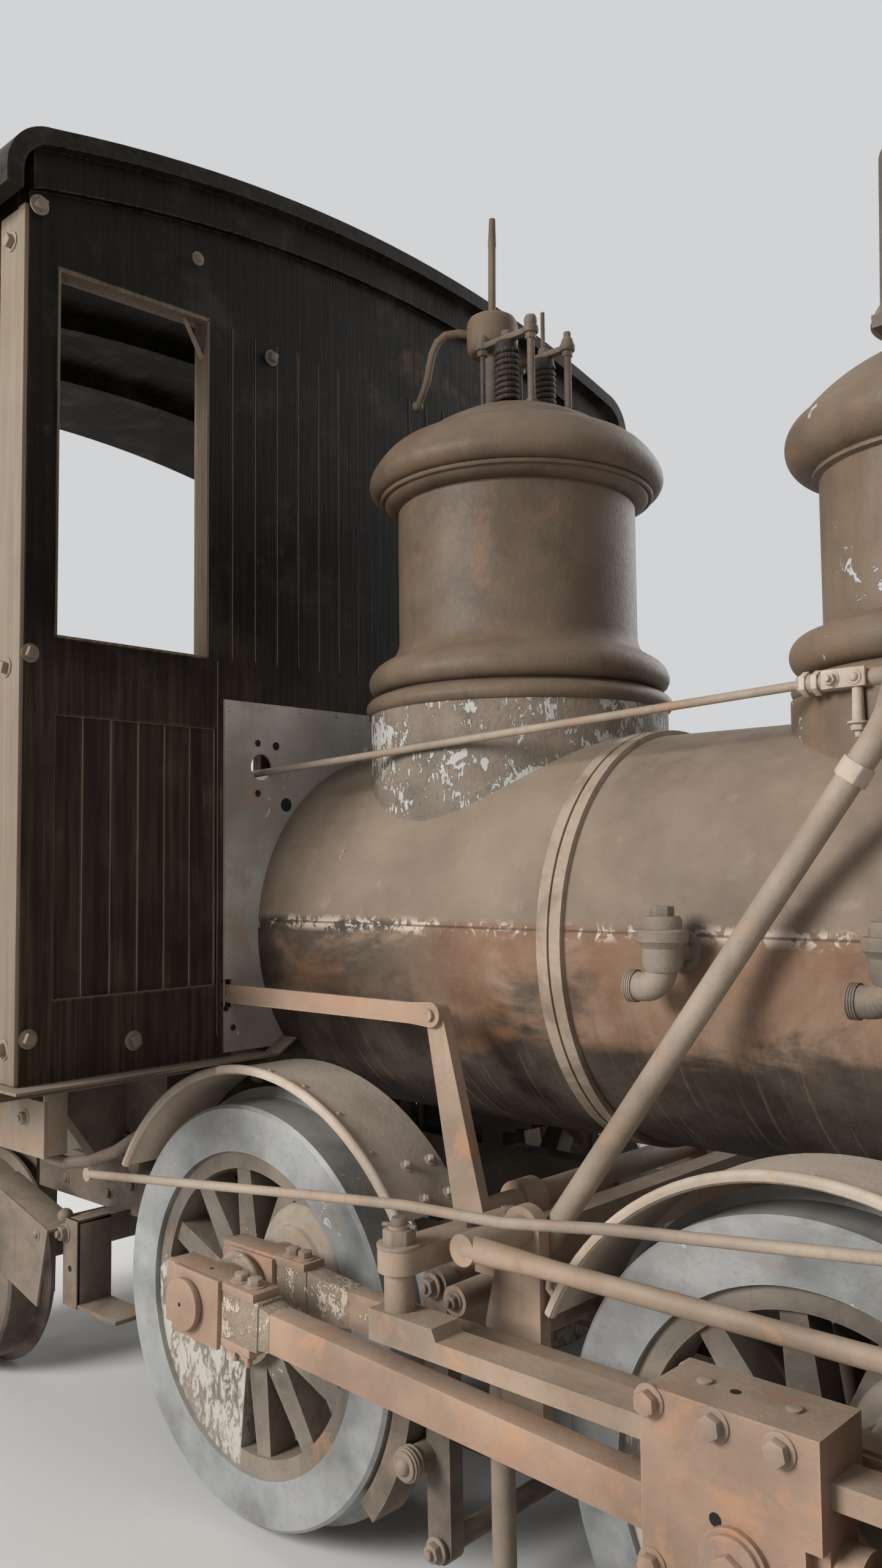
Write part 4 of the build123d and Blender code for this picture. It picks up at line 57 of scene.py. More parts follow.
class Shader:
    """One procedural material, with the nodes that paint it on Object coordinates."""

    def __init__(self, name: str) -> None:
        """Starts a material that has one glossy surface node.

        Args:
            name: The material's name.
        """
        self.material = bpy.data.materials.new(name)
        self.material.use_nodes = True
        self.tree = self.material.node_tree
        self.tree.nodes.clear()
        self.surface = self.node("ShaderNodeBsdfPrincipled")
        output = self.node("ShaderNodeOutputMaterial")
        self.link(self.surface.outputs[0], output.inputs[0])
        coordinates = self.node("ShaderNodeTexCoord")
        self.place = coordinates.outputs["Object"]
        self.facing = coordinates.outputs["Normal"]

    def node(self, kind: str) -> bpy.types.Node:
        """Returns a new node of that kind."""
        return self.tree.nodes.new(kind)

    def link(self, source: object, target: Socket) -> None:
        """Links a socket to an input, or sets the input where the source is a plain value.

        Args:
            source: An output socket, a number or a colour.
            target: The input that takes it.
        """
        if isinstance(source, Socket):
            self.tree.links.new(source, target)
        elif isinstance(source, tuple):
            target.default_value = rgba(source) if len(target.default_value) == 4 else source
        else:
            target.default_value = source

    def scaled(self, x: float, y: float, z: float) -> Socket:
        """Returns the Object coordinates scaled along each axis."""
        mapping = self.node("ShaderNodeMapping")
        mapping.inputs["Scale"].default_value = (x, y, z)
        self.link(self.place, mapping.inputs["Vector"])
        return mapping.outputs[0]

    def noise(self, scale: float, detail: float = 5.0, at: Socket | None = None,
              warp: float = 0.0) -> Socket:
        """Returns a cloudy pattern between 0 and 1.

        Args:
            scale: How many spots there are to a metre.
            detail: How many finer layers it has.
            at: The coordinates, or None for the Object coordinates.
            warp: How far the pattern is pulled about.

        Returns:
            The pattern's output.
        """
        noise = self.node("ShaderNodeTexNoise")
        noise.inputs["Scale"].default_value = scale
        noise.inputs["Detail"].default_value = detail
        noise.inputs["Roughness"].default_value = 0.62
        noise.inputs["Distortion"].default_value = warp
        self.link(at or self.place, noise.inputs["Vector"])
        return noise.outputs[0]

    def cells(self, scale: float, at: Socket | None = None) -> Socket:
        """Returns the distance from the nearest of many scattered points."""
        cells = self.node("ShaderNodeTexVoronoi")
        cells.inputs["Scale"].default_value = scale
        self.link(at or self.place, cells.inputs["Vector"])
        return cells.outputs["Distance"]

    def band(self, value: Socket, low: float, high: float, top: float = 1.0) -> Socket:
        """Returns 0 below low and top above high, with a smooth step between.

        Args:
            value: What is compared.
            low: Where the step begins.
            high: Where the step ends, below low for a falling step.
            top: The value above the step.

        Returns:
            The step's output.
        """
        step = self.node("ShaderNodeMapRange")
        step.interpolation_type = "SMOOTHSTEP"
        if low < high:
            numbers = (low, high, 0.0, top)
        else:
            numbers = (high, low, top, 0.0)
        for name, number in zip(("From Min", "From Max", "To Min", "To Max"), numbers):
            step.inputs[name].default_value = number
        self.link(value, step.inputs["Value"])
        return step.outputs[0]

    def math(self, operation: str, first: object, second: object) -> Socket:
        """Returns what a named operation makes of two values."""
        sums = self.node("ShaderNodeMath")
        sums.operation = operation
        self.link(first, sums.inputs[0])
        self.link(second, sums.inputs[1])
        return sums.outputs[0]

    def times(self, first: object, second: object) -> Socket:
        """Returns the product of two values."""
        return self.math("MULTIPLY", first, second)

    def plus(self, first: object, second: object) -> Socket:
        """Returns the sum of two values."""
        return self.math("ADD", first, second)

    def minus(self, first: object, second: object) -> Socket:
        """Returns the first value less the second."""
        return self.math("SUBTRACT", first, second)

    def apart(self, first: object, second: object) -> Socket:
        """Returns how far two values are apart, whichever is larger."""
        return self.math("ABSOLUTE", self.minus(first, second), 0.0)

    def mix(self, amount: object, under: object, over: object) -> Socket:
        """Returns one colour laid over another.

        Args:
            amount: How much of the upper colour shows, from 0 to 1.
            under: The lower colour.
            over: The upper colour.

        Returns:
            The mixed colour.
        """
        mix = self.node("ShaderNodeMix")
        mix.data_type = "RGBA"
        self.link(amount, mix.inputs[0])
        self.link(under, mix.inputs[6])
        self.link(over, mix.inputs[7])
        return mix.outputs[2]

    def axis(self, vector: Socket, name: str) -> Socket:
        """Returns the X, Y or Z part of a vector."""
        split = self.node("ShaderNodeSeparateXYZ")
        self.link(vector, split.inputs[0])
        return split.outputs[name]

    def chance(self, value: Socket) -> Socket:
        """Returns a random number between 0 and 1 that is the same wherever the value is."""
        random = self.node("ShaderNodeTexWhiteNoise")
        random.noise_dimensions = "1D"
        self.link(value, random.inputs["W"])
        return random.outputs["Value"]

    def worn_edges(self, reach: float) -> Socket:
        """Returns a mask that is high along the edges of the piece.

        Args:
            reach: How wide the worn strip is, in metres.

        Returns:
            The mask's output.
        """
        bevel = self.node("ShaderNodeBevel")
        bevel.samples = 4
        bevel.inputs["Radius"].default_value = reach
        geometry = self.node("ShaderNodeNewGeometry")
        dot = self.node("ShaderNodeVectorMath")
        dot.operation = "DOT_PRODUCT"
        self.link(bevel.outputs[0], dot.inputs[0])
        self.link(geometry.outputs["True Normal"], dot.inputs[1])
        return self.band(dot.outputs["Value"], 0.985, 0.80)

    def finish(self, colour: Socket, rough: object, height: object, depth: float, metal: float,
               gloss: float = 0.5) -> None:
        """Links what was painted to the surface.

        Args:
            colour: The base colour.
            rough: The roughness.
            height: The height that the bump follows.
            depth: How deep the bump is, in metres.
            metal: How metallic the surface is.
            gloss: How strongly it mirrors, where 0.5 is a clean hard surface.
        """
        self.surface.inputs["Specular IOR Level"].default_value = gloss
        self.link(colour, self.surface.inputs["Base Color"])
        self.link(rough, self.surface.inputs["Roughness"])
        self.surface.inputs["Metallic"].default_value = metal
        bump = self.node("ShaderNodeBump")
        bump.inputs["Strength"].default_value = 1.0
        bump.inputs["Distance"].default_value = depth
        self.link(height, bump.inputs["Height"])
        self.link(bump.outputs[0], self.surface.inputs["Normal"])


@dataclass(frozen=True)
class Iron:
    """Old iron, with what is left of its paint, rust and the dust that lies on it."""

    name: str
    main: Colour
    dark: Colour
    rust: Colour
    dust: Colour
    dusty: float = 0.5
    streaks: float = 0.3
    flakes: float = 0.0
    flake: Colour = (0.44, 0.42, 0.39)
    flake_size: float = 34.0
    upright: float = 1.0
    edge: Colour = (0.30, 0.22, 0.17)
    worn: float = 0.4
    rough: float = 0.62
    metal: float = 0.0
    pits: float = 0.0012
    gloss: float = 0.22
    slot: str = "dusty_iron"

    def material(self) -> bpy.types.Material:
        """Returns the painted material."""
        shade = Shader(self.name)
        patches = shade.noise(9.0, 6.0, warp=0.6)
        grain = shade.noise(85.0, 6.0)
        colour = self.paint(shade, patches, grain)
        upward = shade.band(shade.axis(shade.facing, "Z"), 0.05, 0.9)
        settled = shade.times(upward, shade.band(patches, 0.75, 0.35, self.dusty))
        film = shade.band(shade.noise(5.0, 8.0), 0.38, 0.62, self.dusty * 0.45)
        colour = shade.mix(film, colour, self.dust)
        colour = shade.mix(settled, colour, self.dust)
        edges = shade.times(shade.worn_edges(0.006), shade.band(grain, 0.38, 0.6, self.worn))
        colour = shade.mix(edges, colour, self.edge)
        height = shade.plus(grain, shade.times(patches, 0.6))
        if self.flakes:
            mask = self.chips(shade)
            colour = shade.mix(mask, colour, self.flake)
            height = shade.plus(height, shade.times(mask, 0.8))
        rough = shade.plus(shade.times(grain, 0.25), self.rough - 0.12)
        shade.finish(colour, rough, height, self.pits, self.metal, self.gloss)
        return shade.material

    def paint(self, shade: Shader, patches: Socket, grain: Socket) -> Socket:
        """Returns the colour under the dust.

        Args:
            shade: The material that is being painted.
            patches: The pattern of broad patches.
            grain: The pattern of fine grain.

        Returns:
            The colour's output.
        """
        clouds = shade.noise(2.2, 4.0)
        runs = shade.noise(1.0, 7.0, at=shade.scaled(26.0, 26.0, 2.2), warp=0.3)
        colour = shade.mix(shade.band(clouds, 0.35, 0.68), self.main, self.dark)
        colour = shade.mix(shade.band(patches, 0.52, 0.72, 0.75), colour, self.rust)
        colour = shade.mix(shade.band(runs, 0.50, 0.70, self.streaks), colour, self.dark)
        return shade.mix(shade.band(grain, 0.52, 0.74, 0.35), colour, self.dark)

    def chips(self, shade: Shader) -> Socket:
        """Returns where pale flakes of old paint still hold.

        Args:
            shade: The material that is being painted.

        Returns:
            A mask with sharp edges.
        """
        size = self.flake_size
        fine = shade.noise(1.0, 9.0, at=shade.scaled(size, size, size * self.upright), warp=1.2)
        broad = shade.band(shade.noise(self.flake_size / 7.0, 5.0, warp=0.5), 0.30, 0.70)
        where = shade.times(fine, shade.plus(shade.times(broad, 0.55), 0.45))
        level = 0.62 - self.flakes * 0.3
        return shade.band(where, level, level + 0.03)


@dataclass(frozen=True)
class WheelIron(Iron):
    """The wheels' iron, with most of its old paint left on the counterweights."""

    centres: tuple[float, float, float] = (-0.65, 0.784, 0.508)
    right: float = 216.87
    left: float = 306.87
    spread: float = 47.0
    hub: float = 0.118

    def chips(self, shade: Shader) -> Socket:
        """Returns where pale flakes hold: few on the spokes, many on the counterweights.

        Args:
            shade: The material that is being painted.

        Returns:
            A mask with sharp edges.
        """
        rear, front, height = self.centres
        along, across, up = (shade.axis(shade.place, name) for name in "XYZ")
        second = shade.times(shade.math("GREATER_THAN", along, (rear + front) / 2), front - rear)
        along = shade.minus(shade.minus(along, rear), second)
        up = shade.minus(up, height)
        far = []
        for turn in (self.right, self.left):
            way = math.radians(turn)
            far.append(shade.plus(shade.times(along, math.cos(way)), shade.times(up, math.sin(way))))
        toward = shade.mix(shade.math("GREATER_THAN", across, 0.0), *far)
        reach = shade.math("POWER", shade.plus(shade.times(along, along), shade.times(up, up)), 0.5)
        inside = shade.minus(toward, shade.times(reach, math.cos(math.radians(self.spread))))
        beyond = shade.band(reach, self.hub, self.hub + 0.01)
        weight = shade.times(shade.band(inside, -0.004, 0.004), beyond)
        sparse = super().chips(shade)
        fine = shade.noise(1.0, 10.0, at=shade.scaled(52.0, 52.0, 24.0), warp=0.9)
        patches = shade.noise(7.0, 4.0, warp=0.4)
        dense = shade.band(shade.plus(fine, shade.times(patches, 0.55)), 0.68, 0.80)
        return shade.mix(weight, sparse, dense)


@dataclass(frozen=True)
class Barrel(Iron):
    """The boiler's shell: dusty above the lap seam, burnt and streaked below it."""

    seam: float = 1.428
    bottom: float = 0.95
    band: tuple[float, float] = (0.157, 0.217)
    tan: Colour = (0.255, 0.165, 0.110)
    pale: Colour = (0.50, 0.41, 0.33)
    soot_and_painted_shade: Colour = (0.030, 0.023, 0.018)

    def paint(self, shade: Shader, patches: Socket, grain: Socket) -> Socket:
        """Returns the colour under the dust.

        Args:
            shade: The material that is being painted.
            patches: The pattern of broad patches.
            grain: The pattern of fine grain.

        Returns:
            The colour's output.
        """
        height = shade.axis(shade.place, "Z")
        along = shade.axis(shade.place, "X")
        wander = shade.times(shade.minus(shade.noise(7.0, 7.0), 0.5), 0.05)
        level = shade.plus(height, wander)
        clouds = shade.noise(1.6, 5.0, warp=0.4)
        upper = shade.mix(shade.band(clouds, 0.36, 0.66), self.main, self.dark)
        upper = shade.mix(shade.band(patches, 0.55, 0.80, 0.5), upper, self.dust)
        upper = shade.mix(shade.band(grain, 0.58, 0.80, 0.30), upper, self.dark)
        lower = shade.mix(shade.band(shade.noise(3.0, 6.0, warp=0.5), 0.35, 0.62), self.tan, self.rust)
        deep = shade.band(level, self.seam - 0.04, self.bottom)
        clouded = shade.noise(4.5, 9.0, at=shade.scaled(0.6, 1.0, 1.6), warp=0.5)
        burnt = shade.plus(clouded, shade.times(deep, 0.42))
        lower = shade.mix(shade.band(burnt, 0.545, 0.72, 0.94), lower, self.soot_and_painted_shade)
        runs = shade.noise(1.0, 8.0, at=shade.scaled(46.0, 1.6, 1.6), warp=0.25)
        lower = shade.mix(shade.times(shade.band(runs, 0.50, 0.66, 0.8), deep), lower, self.soot_and_painted_shade)
        thin = shade.noise(1.0, 6.0, at=shade.scaled(95.0, 2.4, 2.4), warp=0.2)
        lower = shade.mix(shade.times(shade.band(thin, 0.58, 0.70, 0.45), deep), lower, self.rust)
        lower = shade.mix(shade.times(shade.band(thin, 0.42, 0.34, 0.28), deep), lower, self.dust)
        high = shade.band(height, self.seam - 0.34, self.seam - 0.03)
        rear = shade.times(shade.band(along, 0.05, -0.35), high)
        smoke = shade.noise(3.4, 9.0, at=shade.scaled(0.7, 1.0, 1.4), warp=0.6)
        smudge = shade.times(rear, shade.band(smoke, 0.34, 0.50, 0.95))
        lower = shade.mix(smudge, lower, self.soot_and_painted_shade)
        ragged = shade.plus(height, shade.times(wander, 0.25))
        under = shade.band(ragged, self.seam + 0.020, self.seam + 0.002)
        colour = shade.mix(under, upper, lower)
        off = shade.apart(shade.plus(height, shade.times(wander, 0.35)), self.seam)
        torn = shade.plus(shade.noise(38.0, 9.0, warp=0.8), shade.times(shade.noise(5.0, 5.0), 0.7))
        line = shade.times(shade.band(off, 0.024, 0.004), shade.band(torn, 0.86, 0.93, 0.9))
        colour = shade.mix(line, colour, self.pale)
        crack = shade.band(shade.apart(height, self.seam), 0.0035, 0.0015, 0.7)
        colour = shade.mix(crack, colour, self.soot_and_painted_shade)
        middle = sum(self.band) / 2
        half = self.band[1] - middle
        inside = shade.band(shade.apart(along, middle), half + 0.003, half, 0.85)
        return shade.mix(inside, colour, shade.mix(shade.band(patches, 0.40, 0.66), self.dust, self.main))


class Grain(Enum):
    """Which way the boards of a wooden piece run."""

    UPRIGHT = "upright"
    ALONG = "along"
    ACROSS = "across"


@dataclass(frozen=True)
class Wood:
    """Stained wood whose finish has gone dull, with bare patches along its edges and painted shade above a
    given height.
    """

    name: str
    main: Colour
    light: Colour
    bare: Colour
    grain: Grain = Grain.UPRIGHT
    worn: float = 0.35
    rough: float = 0.5
    dust: Colour = (0.28, 0.23, 0.18)
    dusty: float = 0.10
    board: float = 0.074
    gloss: float = 0.07
    shade_from: float = 9.0
    # The near-black colour of the painted shade above shade_from; the barrel's soot shares this name.
    soot_and_painted_shade: Colour = (0.0042, 0.0038, 0.0031)
    slot: str = "stained_wood"

    def material(self) -> bpy.types.Material:
        """Returns the painted material."""
        shade = Shader(self.name)
        stretch = {
            Grain.UPRIGHT: (60.0, 60.0, 2.4), Grain.ALONG: (2.4, 60.0, 60.0), Grain.ACROSS: (60.0, 2.4, 60.0),
        }
        place = shade.scaled(*stretch[self.grain])
        fibre = shade.noise(1.0, 8.0, at=place, warp=0.5)
        fine = shade.noise(4.0, 4.0, at=place)
        broad = shade.noise(2.6, 6.0, warp=0.6)
        colour = shade.mix(shade.band(fibre, 0.35, 0.72, 0.85), self.main, self.light)
        colour = shade.mix(shade.band(fine, 0.55, 0.8, 0.5), colour, self.main)
        colour = shade.mix(shade.band(broad, 0.47, 0.70, 0.75), colour, self.main)
        axis = "X" if self.grain is Grain.ACROSS else "Y"
        across = shade.times(shade.axis(shade.place, axis), 1 / self.board)
        darker = shade.times(shade.chance(shade.math("FLOOR", across, 0.0)), 0.55)
        colour = shade.mix(darker, colour, self.main)
        height = shade.plus(shade.axis(shade.place, "Z"), shade.times(broad, 0.3))
        # Painted shade: above shade_from the colour turns near black.
        shaded = shade.band(height, self.shade_from + 0.05, self.shade_from + 0.35, 0.85)
        colour = shade.mix(shaded, colour, self.soot_and_painted_shade)
        patchy = shade.times(shade.band(broad, 0.40, 0.30, self.worn), shade.band(fibre, 0.40, 0.62))
        colour = shade.mix(patchy, colour, self.bare)
        edges = shade.times(shade.worn_edges(0.006), shade.band(fibre, 0.38, 0.58, self.worn + 0.15))
        colour = shade.mix(edges, colour, self.bare)
        upward = shade.band(shade.axis(shade.facing, "Z"), 0.3, 0.95, self.dusty + 0.35)
        film = shade.band(shade.noise(6.0, 7.0), 0.48, 0.78, self.dusty)
        colour = shade.mix(film, colour, self.dust)
        colour = shade.mix(upward, colour, self.dust)
        rough = shade.plus(shade.times(fibre, 0.3), self.rough - 0.15)
        shade.finish(colour, rough, shade.plus(fibre, shade.times(fine, 0.5)), 0.0011, 0.0, self.gloss)
        return shade.material


@dataclass(frozen=True)
class Plain:
    """A small even finish, such as lamp glass or the painted shade inside a hole."""

    name: str
    main: Colour
    rough: float = 0.5
    metal: float = 0.0
    clear: float = 0.0
    slot: str = "dusty_iron"

    def material(self) -> bpy.types.Material:
        """Returns the painted material."""
        shade = Shader(self.name)
        spots = shade.noise(40.0, 5.0)
        dull = tuple(0.75 * part for part in self.main)
        shade.surface.inputs["Transmission Weight"].default_value = self.clear
        shade.surface.inputs["IOR"].default_value = 1.45
        rough = shade.plus(shade.times(spots, 0.2), self.rough - 0.1)
        colour = shade.mix(shade.band(spots, 0.4, 0.7), self.main, dull)
        shade.finish(colour, rough, spots, 0.0003, self.metal)
        return shade.material


Finish = Iron | Wood | Plain
DUST = (0.36, 0.285, 0.215)
BOILER = Barrel("boiler_iron", (0.212, 0.157, 0.113), (0.128, 0.093, 0.067), (0.165, 0.085, 0.046), DUST,
                dusty=0.30, streaks=0.2)
FITTING = Iron("fitting_iron", (0.33, 0.265, 0.205), (0.18, 0.140, 0.108), (0.33, 0.19, 0.11), DUST,
               dusty=0.45)
FEED = Iron("feed_iron", (0.255, 0.212, 0.168), (0.120, 0.098, 0.078), (0.30, 0.18, 0.11), DUST, dusty=0.40)
DOME = Iron("dome_iron", (0.148, 0.104, 0.069), (0.082, 0.057, 0.039), (0.155, 0.088, 0.052),
            (0.24, 0.175, 0.122), dusty=0.42, streaks=0.45, rough=0.52)
SAND_DOME = Iron("sand_dome_iron", (0.165, 0.118, 0.080), (0.095, 0.068, 0.047), (0.200, 0.110, 0.062),
                 (0.27, 0.20, 0.14), dusty=0.42, streaks=0.4, rough=0.52, flakes=0.34,
                 flake=(0.40, 0.41, 0.40), flake_size=26.0)
VALVE = Iron("valve_iron", (0.125, 0.098, 0.072), (0.050, 0.040, 0.031), (0.20, 0.115, 0.065),
             (0.30, 0.235, 0.175), dusty=0.55)
CUP = Iron("cup_iron", (0.150, 0.105, 0.066), (0.085, 0.060, 0.040), (0.18, 0.105, 0.06), (0.25, 0.19, 0.135))
SPRING = Iron("spring_steel", (0.026, 0.022, 0.018), (0.010, 0.009, 0.008), (0.060, 0.040, 0.026),
              (0.14, 0.11, 0.085), dusty=0.3)
ROD = Iron("rod_iron", (0.345, 0.218, 0.148), (0.205, 0.140, 0.100), (0.40, 0.205, 0.115),
           (0.44, 0.335, 0.250), streaks=0.10, dusty=0.42, slot="rod_iron", edge=(0.50, 0.38, 0.28))
FLAKED_ROD = Iron("flaked_rod", (0.305, 0.220, 0.155), (0.120, 0.088, 0.065), (0.34, 0.195, 0.115),
                  (0.42, 0.33, 0.245), streaks=0.15, dusty=0.4, flakes=0.36, flake=(0.50, 0.41, 0.31),
                  flake_size=95.0, slot="rod_iron")
ARM = Iron("arm_iron", (0.345, 0.245, 0.172), (0.185, 0.135, 0.098), (0.38, 0.210, 0.122),
           (0.46, 0.365, 0.280), dusty=0.4, slot="rod_iron", flakes=0.16, flake=(0.56, 0.47, 0.37),
           flake_size=90.0)
CHIPPED = Iron("chipped_rod", (0.290, 0.225, 0.165), (0.120, 0.090, 0.067), (0.32, 0.195, 0.120),
               (0.42, 0.34, 0.25), streaks=0.15, dusty=0.3, flakes=0.80, flake=(0.47, 0.385, 0.295),
               flake_size=150.0, upright=0.6, pits=0.004, slot="rod_iron")
ROD_BOLT = Iron("rod_bolts", (0.36, 0.245, 0.175), (0.17, 0.12, 0.09), (0.38, 0.20, 0.115),
                (0.50, 0.40, 0.31), slot="rod_iron")
FRAME = Iron("frame_iron", (0.140, 0.110, 0.085), (0.046, 0.037, 0.030), (0.21, 0.12, 0.072), DUST, dusty=0.6,
             slot="frame_iron")
FRAME_BOLT = Iron("frame_bolts", (0.25, 0.20, 0.155), (0.10, 0.08, 0.065), (0.30, 0.18, 0.11), DUST,
                  slot="frame_iron")
WHEEL = WheelIron("wheel_iron", (0.245, 0.205, 0.165), (0.075, 0.062, 0.050), (0.29, 0.175, 0.105), DUST,
                  flakes=0.10, flake=(0.42, 0.385, 0.335), slot="frame_iron", flake_size=40.0)
# Partly painted reflection: the tyre's pale dust, worn edges and flakes have the grey of the reflection on
# its steel, so they paint a sheen on its top and edges as well as dust and wear.
TYRE = Iron("tyre_steel", (0.345, 0.350, 0.340), (0.105, 0.110, 0.112), (0.250, 0.210, 0.170),
            (0.52, 0.50, 0.46), dusty=0.55, streaks=0.1, rough=0.44, metal=0.30, pits=0.0006, gloss=0.5,
            slot="tyre_steel", edge=(0.50, 0.49, 0.45), flakes=0.20, flake=(0.50, 0.49, 0.46),
            flake_size=22.0)
BOSS = Iron("crank_boss", (0.36, 0.295, 0.225), (0.125, 0.100, 0.078), (0.36, 0.235, 0.150),
            (0.46, 0.385, 0.305), dusty=0.7, flakes=0.12, flake=(0.60, 0.55, 0.48), flake_size=60.0,
            slot="frame_iron")
SADDLE = Iron("flaked_paint", (0.200, 0.155, 0.117), (0.085, 0.070, 0.058), (0.27, 0.160, 0.092), DUST,
              flakes=0.82, flake=(0.400, 0.385, 0.350), flake_size=62.0, upright=0.42, pits=0.003,
              slot="flaked_paint", dusty=0.5)
PLATE = Iron("grey_plate", (0.450, 0.425, 0.385), (0.235, 0.212, 0.185), (0.32, 0.205, 0.135),
             (0.50, 0.44, 0.37), dusty=0.35, edge=(0.36, 0.20, 0.12), worn=0.9, rough=0.5, slot="grey_plate",
             flakes=0.30, flake=(0.52, 0.51, 0.48))
FENDER = Iron("fender_iron", (0.470, 0.385, 0.310), (0.270, 0.215, 0.168), (0.40, 0.265, 0.170),
              (0.56, 0.47, 0.385), streaks=0.15)
LAMP = Iron("lamp_iron", (0.120, 0.100, 0.082), (0.050, 0.043, 0.036), (0.19, 0.12, 0.075), DUST)
BRONZE = Iron("bronze", (0.36, 0.24, 0.11), (0.16, 0.11, 0.06), (0.20, 0.17, 0.11), DUST, metal=0.8,
              rough=0.42, edge=(0.55, 0.40, 0.20), dusty=0.3, slot="bronze")
CAB_BOLT = Iron("cab_bolts", (0.20, 0.155, 0.115), (0.09, 0.07, 0.055), (0.26, 0.16, 0.10), DUST)
# Painted shade: the cab's walls turn near black above 2.0 m.
STAIN = Wood("stained_wood", (0.024, 0.0180, 0.0135), (0.088, 0.057, 0.038), (0.22, 0.145, 0.09),
             shade_from=2.0)
ROOF = Wood("roof_boards", (0.014, 0.012, 0.010), (0.042, 0.033, 0.026), (0.13, 0.10, 0.075), Grain.ALONG,
            dusty=0.16)
DECK = Wood("deck_wood", (0.105, 0.080, 0.060), (0.22, 0.165, 0.122), (0.38, 0.29, 0.22), Grain.ACROSS,
            dusty=0.5, worn=0.6)
CORNER = Wood("corner_board", (0.180, 0.140, 0.103), (0.265, 0.213, 0.168), (0.30, 0.150, 0.072), worn=0.9,
              dusty=0.25)
# Painted highlight: the pale finish of the strips along the cab front's board grooves and edges.
GROOVE_HIGHLIGHT = Wood("painted_groove_highlight", (0.150, 0.115, 0.088), (0.070, 0.052, 0.040), (0.26, 0.205, 0.16), worn=0.6)
JAMB = Wood("window_lining", (0.105, 0.078, 0.055), (0.18, 0.135, 0.095), (0.34, 0.26, 0.19), worn=0.6)
# Painted shade: the near-black of the discs that stand for the inside of holes.
HOLE_SHADE = Plain("painted_hole_shade", (0.006, 0.005, 0.005), 0.9)
GLASS = Plain("lamp_glass", (0.75, 0.78, 0.76), 0.12, clear=0.85)
MIRROR = Plain("lamp_mirror", (0.50, 0.49, 0.45), 0.28)
GAUGE = Plain("gauge_white", (0.55, 0.54, 0.50), 0.5)


@dataclass(frozen=True)
class Side:
    """One side of the engine, with the sign of its Y."""

    name: str
    sign: int

    @property
    def out(self) -> Vector:
        """Returns the way that points out from the engine."""
        return Vector((0, self.sign, 0))

    def at(self, x: float, y: float, z: float) -> Vector:
        """Returns a point whose Y is given as its distance from the middle line."""
        return Vector((x, self.sign * y, z))

    def span(self, low: Vector, high: Vector) -> tuple[Vector, Vector]:
        """Returns the corners of a block on this side.

        Args:
            low: Its lowest corner, with the distance from the middle line as Y.
            high: Its highest corner, in the same way.

        Returns:
            The lowest and the highest corner.
        """
        first, last = sorted((self.sign * low[1], self.sign * high[1]))
        return Vector((low[0], first, low[2])), Vector((high[0], last, high[2]))


SIDES = (Side("right", -1), Side("left", 1))
UP, AHEAD, BACK = Vector((0, 0, 1)), Vector((1, 0, 0)), Vector((-1, 0, 0))


def beam(turn: float) -> Vector:
    """Returns the way out from the boiler's middle line at an angle in radians."""
    return Vector((0.0, math.cos(turn), math.sin(turn)))


def rising(angle: float) -> Vector:
    """Returns the way out from an axle at an angle in degrees above straight ahead."""
    return Vector((math.cos(math.radians(angle)), 0.0, math.sin(math.radians(angle))))


def both(*names: str) -> list[str]:
    """Returns each name with the ending of either side."""
    return [f"{name}_{side.name}" for name in names for side in SIDES]


NODES_OF = {
    ARM: ["guide_yoke", "reverse_shaft", *both("guide_bar", "valve_rod")],
    BOILER: ["boiler_barrel"],
    BRONZE: ["bell"],
    DECK: ["cab_floor", "front_beam", "pilot"],
    DOME: ["steam_dome"],
    FENDER: both("fenders"),
    FITTING: ["check_valves", "cock_rod", "sand_gear"],
    FLAKED_ROD: both("main_rod", "side_rod"),
    FRAME: ["brake_gear", "cab_carriers", "firebox", "springs", "trailing_wheels", *both("frame")],
    LAMP: ["bell_stand", "chimney", "fire_door", "headlight", "smokebox", "smokebox_door", *both("cylinder")],
    PLATE: ["cab_plate"],
    ROD: ["reach_rod", *both("crosshead")],
    ROOF: ["cab_roof"],
    SADDLE: ["dome_saddle"],
    SAND_DOME: ["sand_dome"],
    STAIN: ["cab_front", *both("cab_side")],
    TYRE: both("front_tyre", "rear_tyre"),
    VALVE: ["safety_valves"],
    WHEEL: ["front_wheels", "rear_wheels"],
}
FINISH_OF = {node: finish for finish, nodes in NODES_OF.items() for node in nodes}


class Finishes:
    """The materials that were made, each once."""

    made: dict[str, bpy.types.Material] = {}

    @classmethod
    def of(cls, finish: Finish) -> bpy.types.Material:
        """Returns the material of a finish, made at its first use."""
        if finish.name not in cls.made:
            cls.made[finish.name] = finish.material()
        return cls.made[finish.name]


def dress_nodes() -> None:
    """Gives every carried-over CAD node its finish."""
    for name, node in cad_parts.items():
        finish = FINISH_OF[name]
        node.data.materials.clear()
        node.data.materials.append(Finishes.of(finish))
        LOG.info("finish %s on %s", finish.name, name)


def stand(name: str, data: bpy.types.ID) -> bpy.types.Object:
    """Returns a new object of a mesh, a lamp or a camera, put into the scene."""
    made = bpy.data.objects.new(name, data)
    bpy.context.scene.collection.objects.link(made)
    return made


class Head(Enum):
    """The kinds of bolt head, by how many sides each has."""

    SQUARE = 4
    HEX = 6
    ROUND = 16


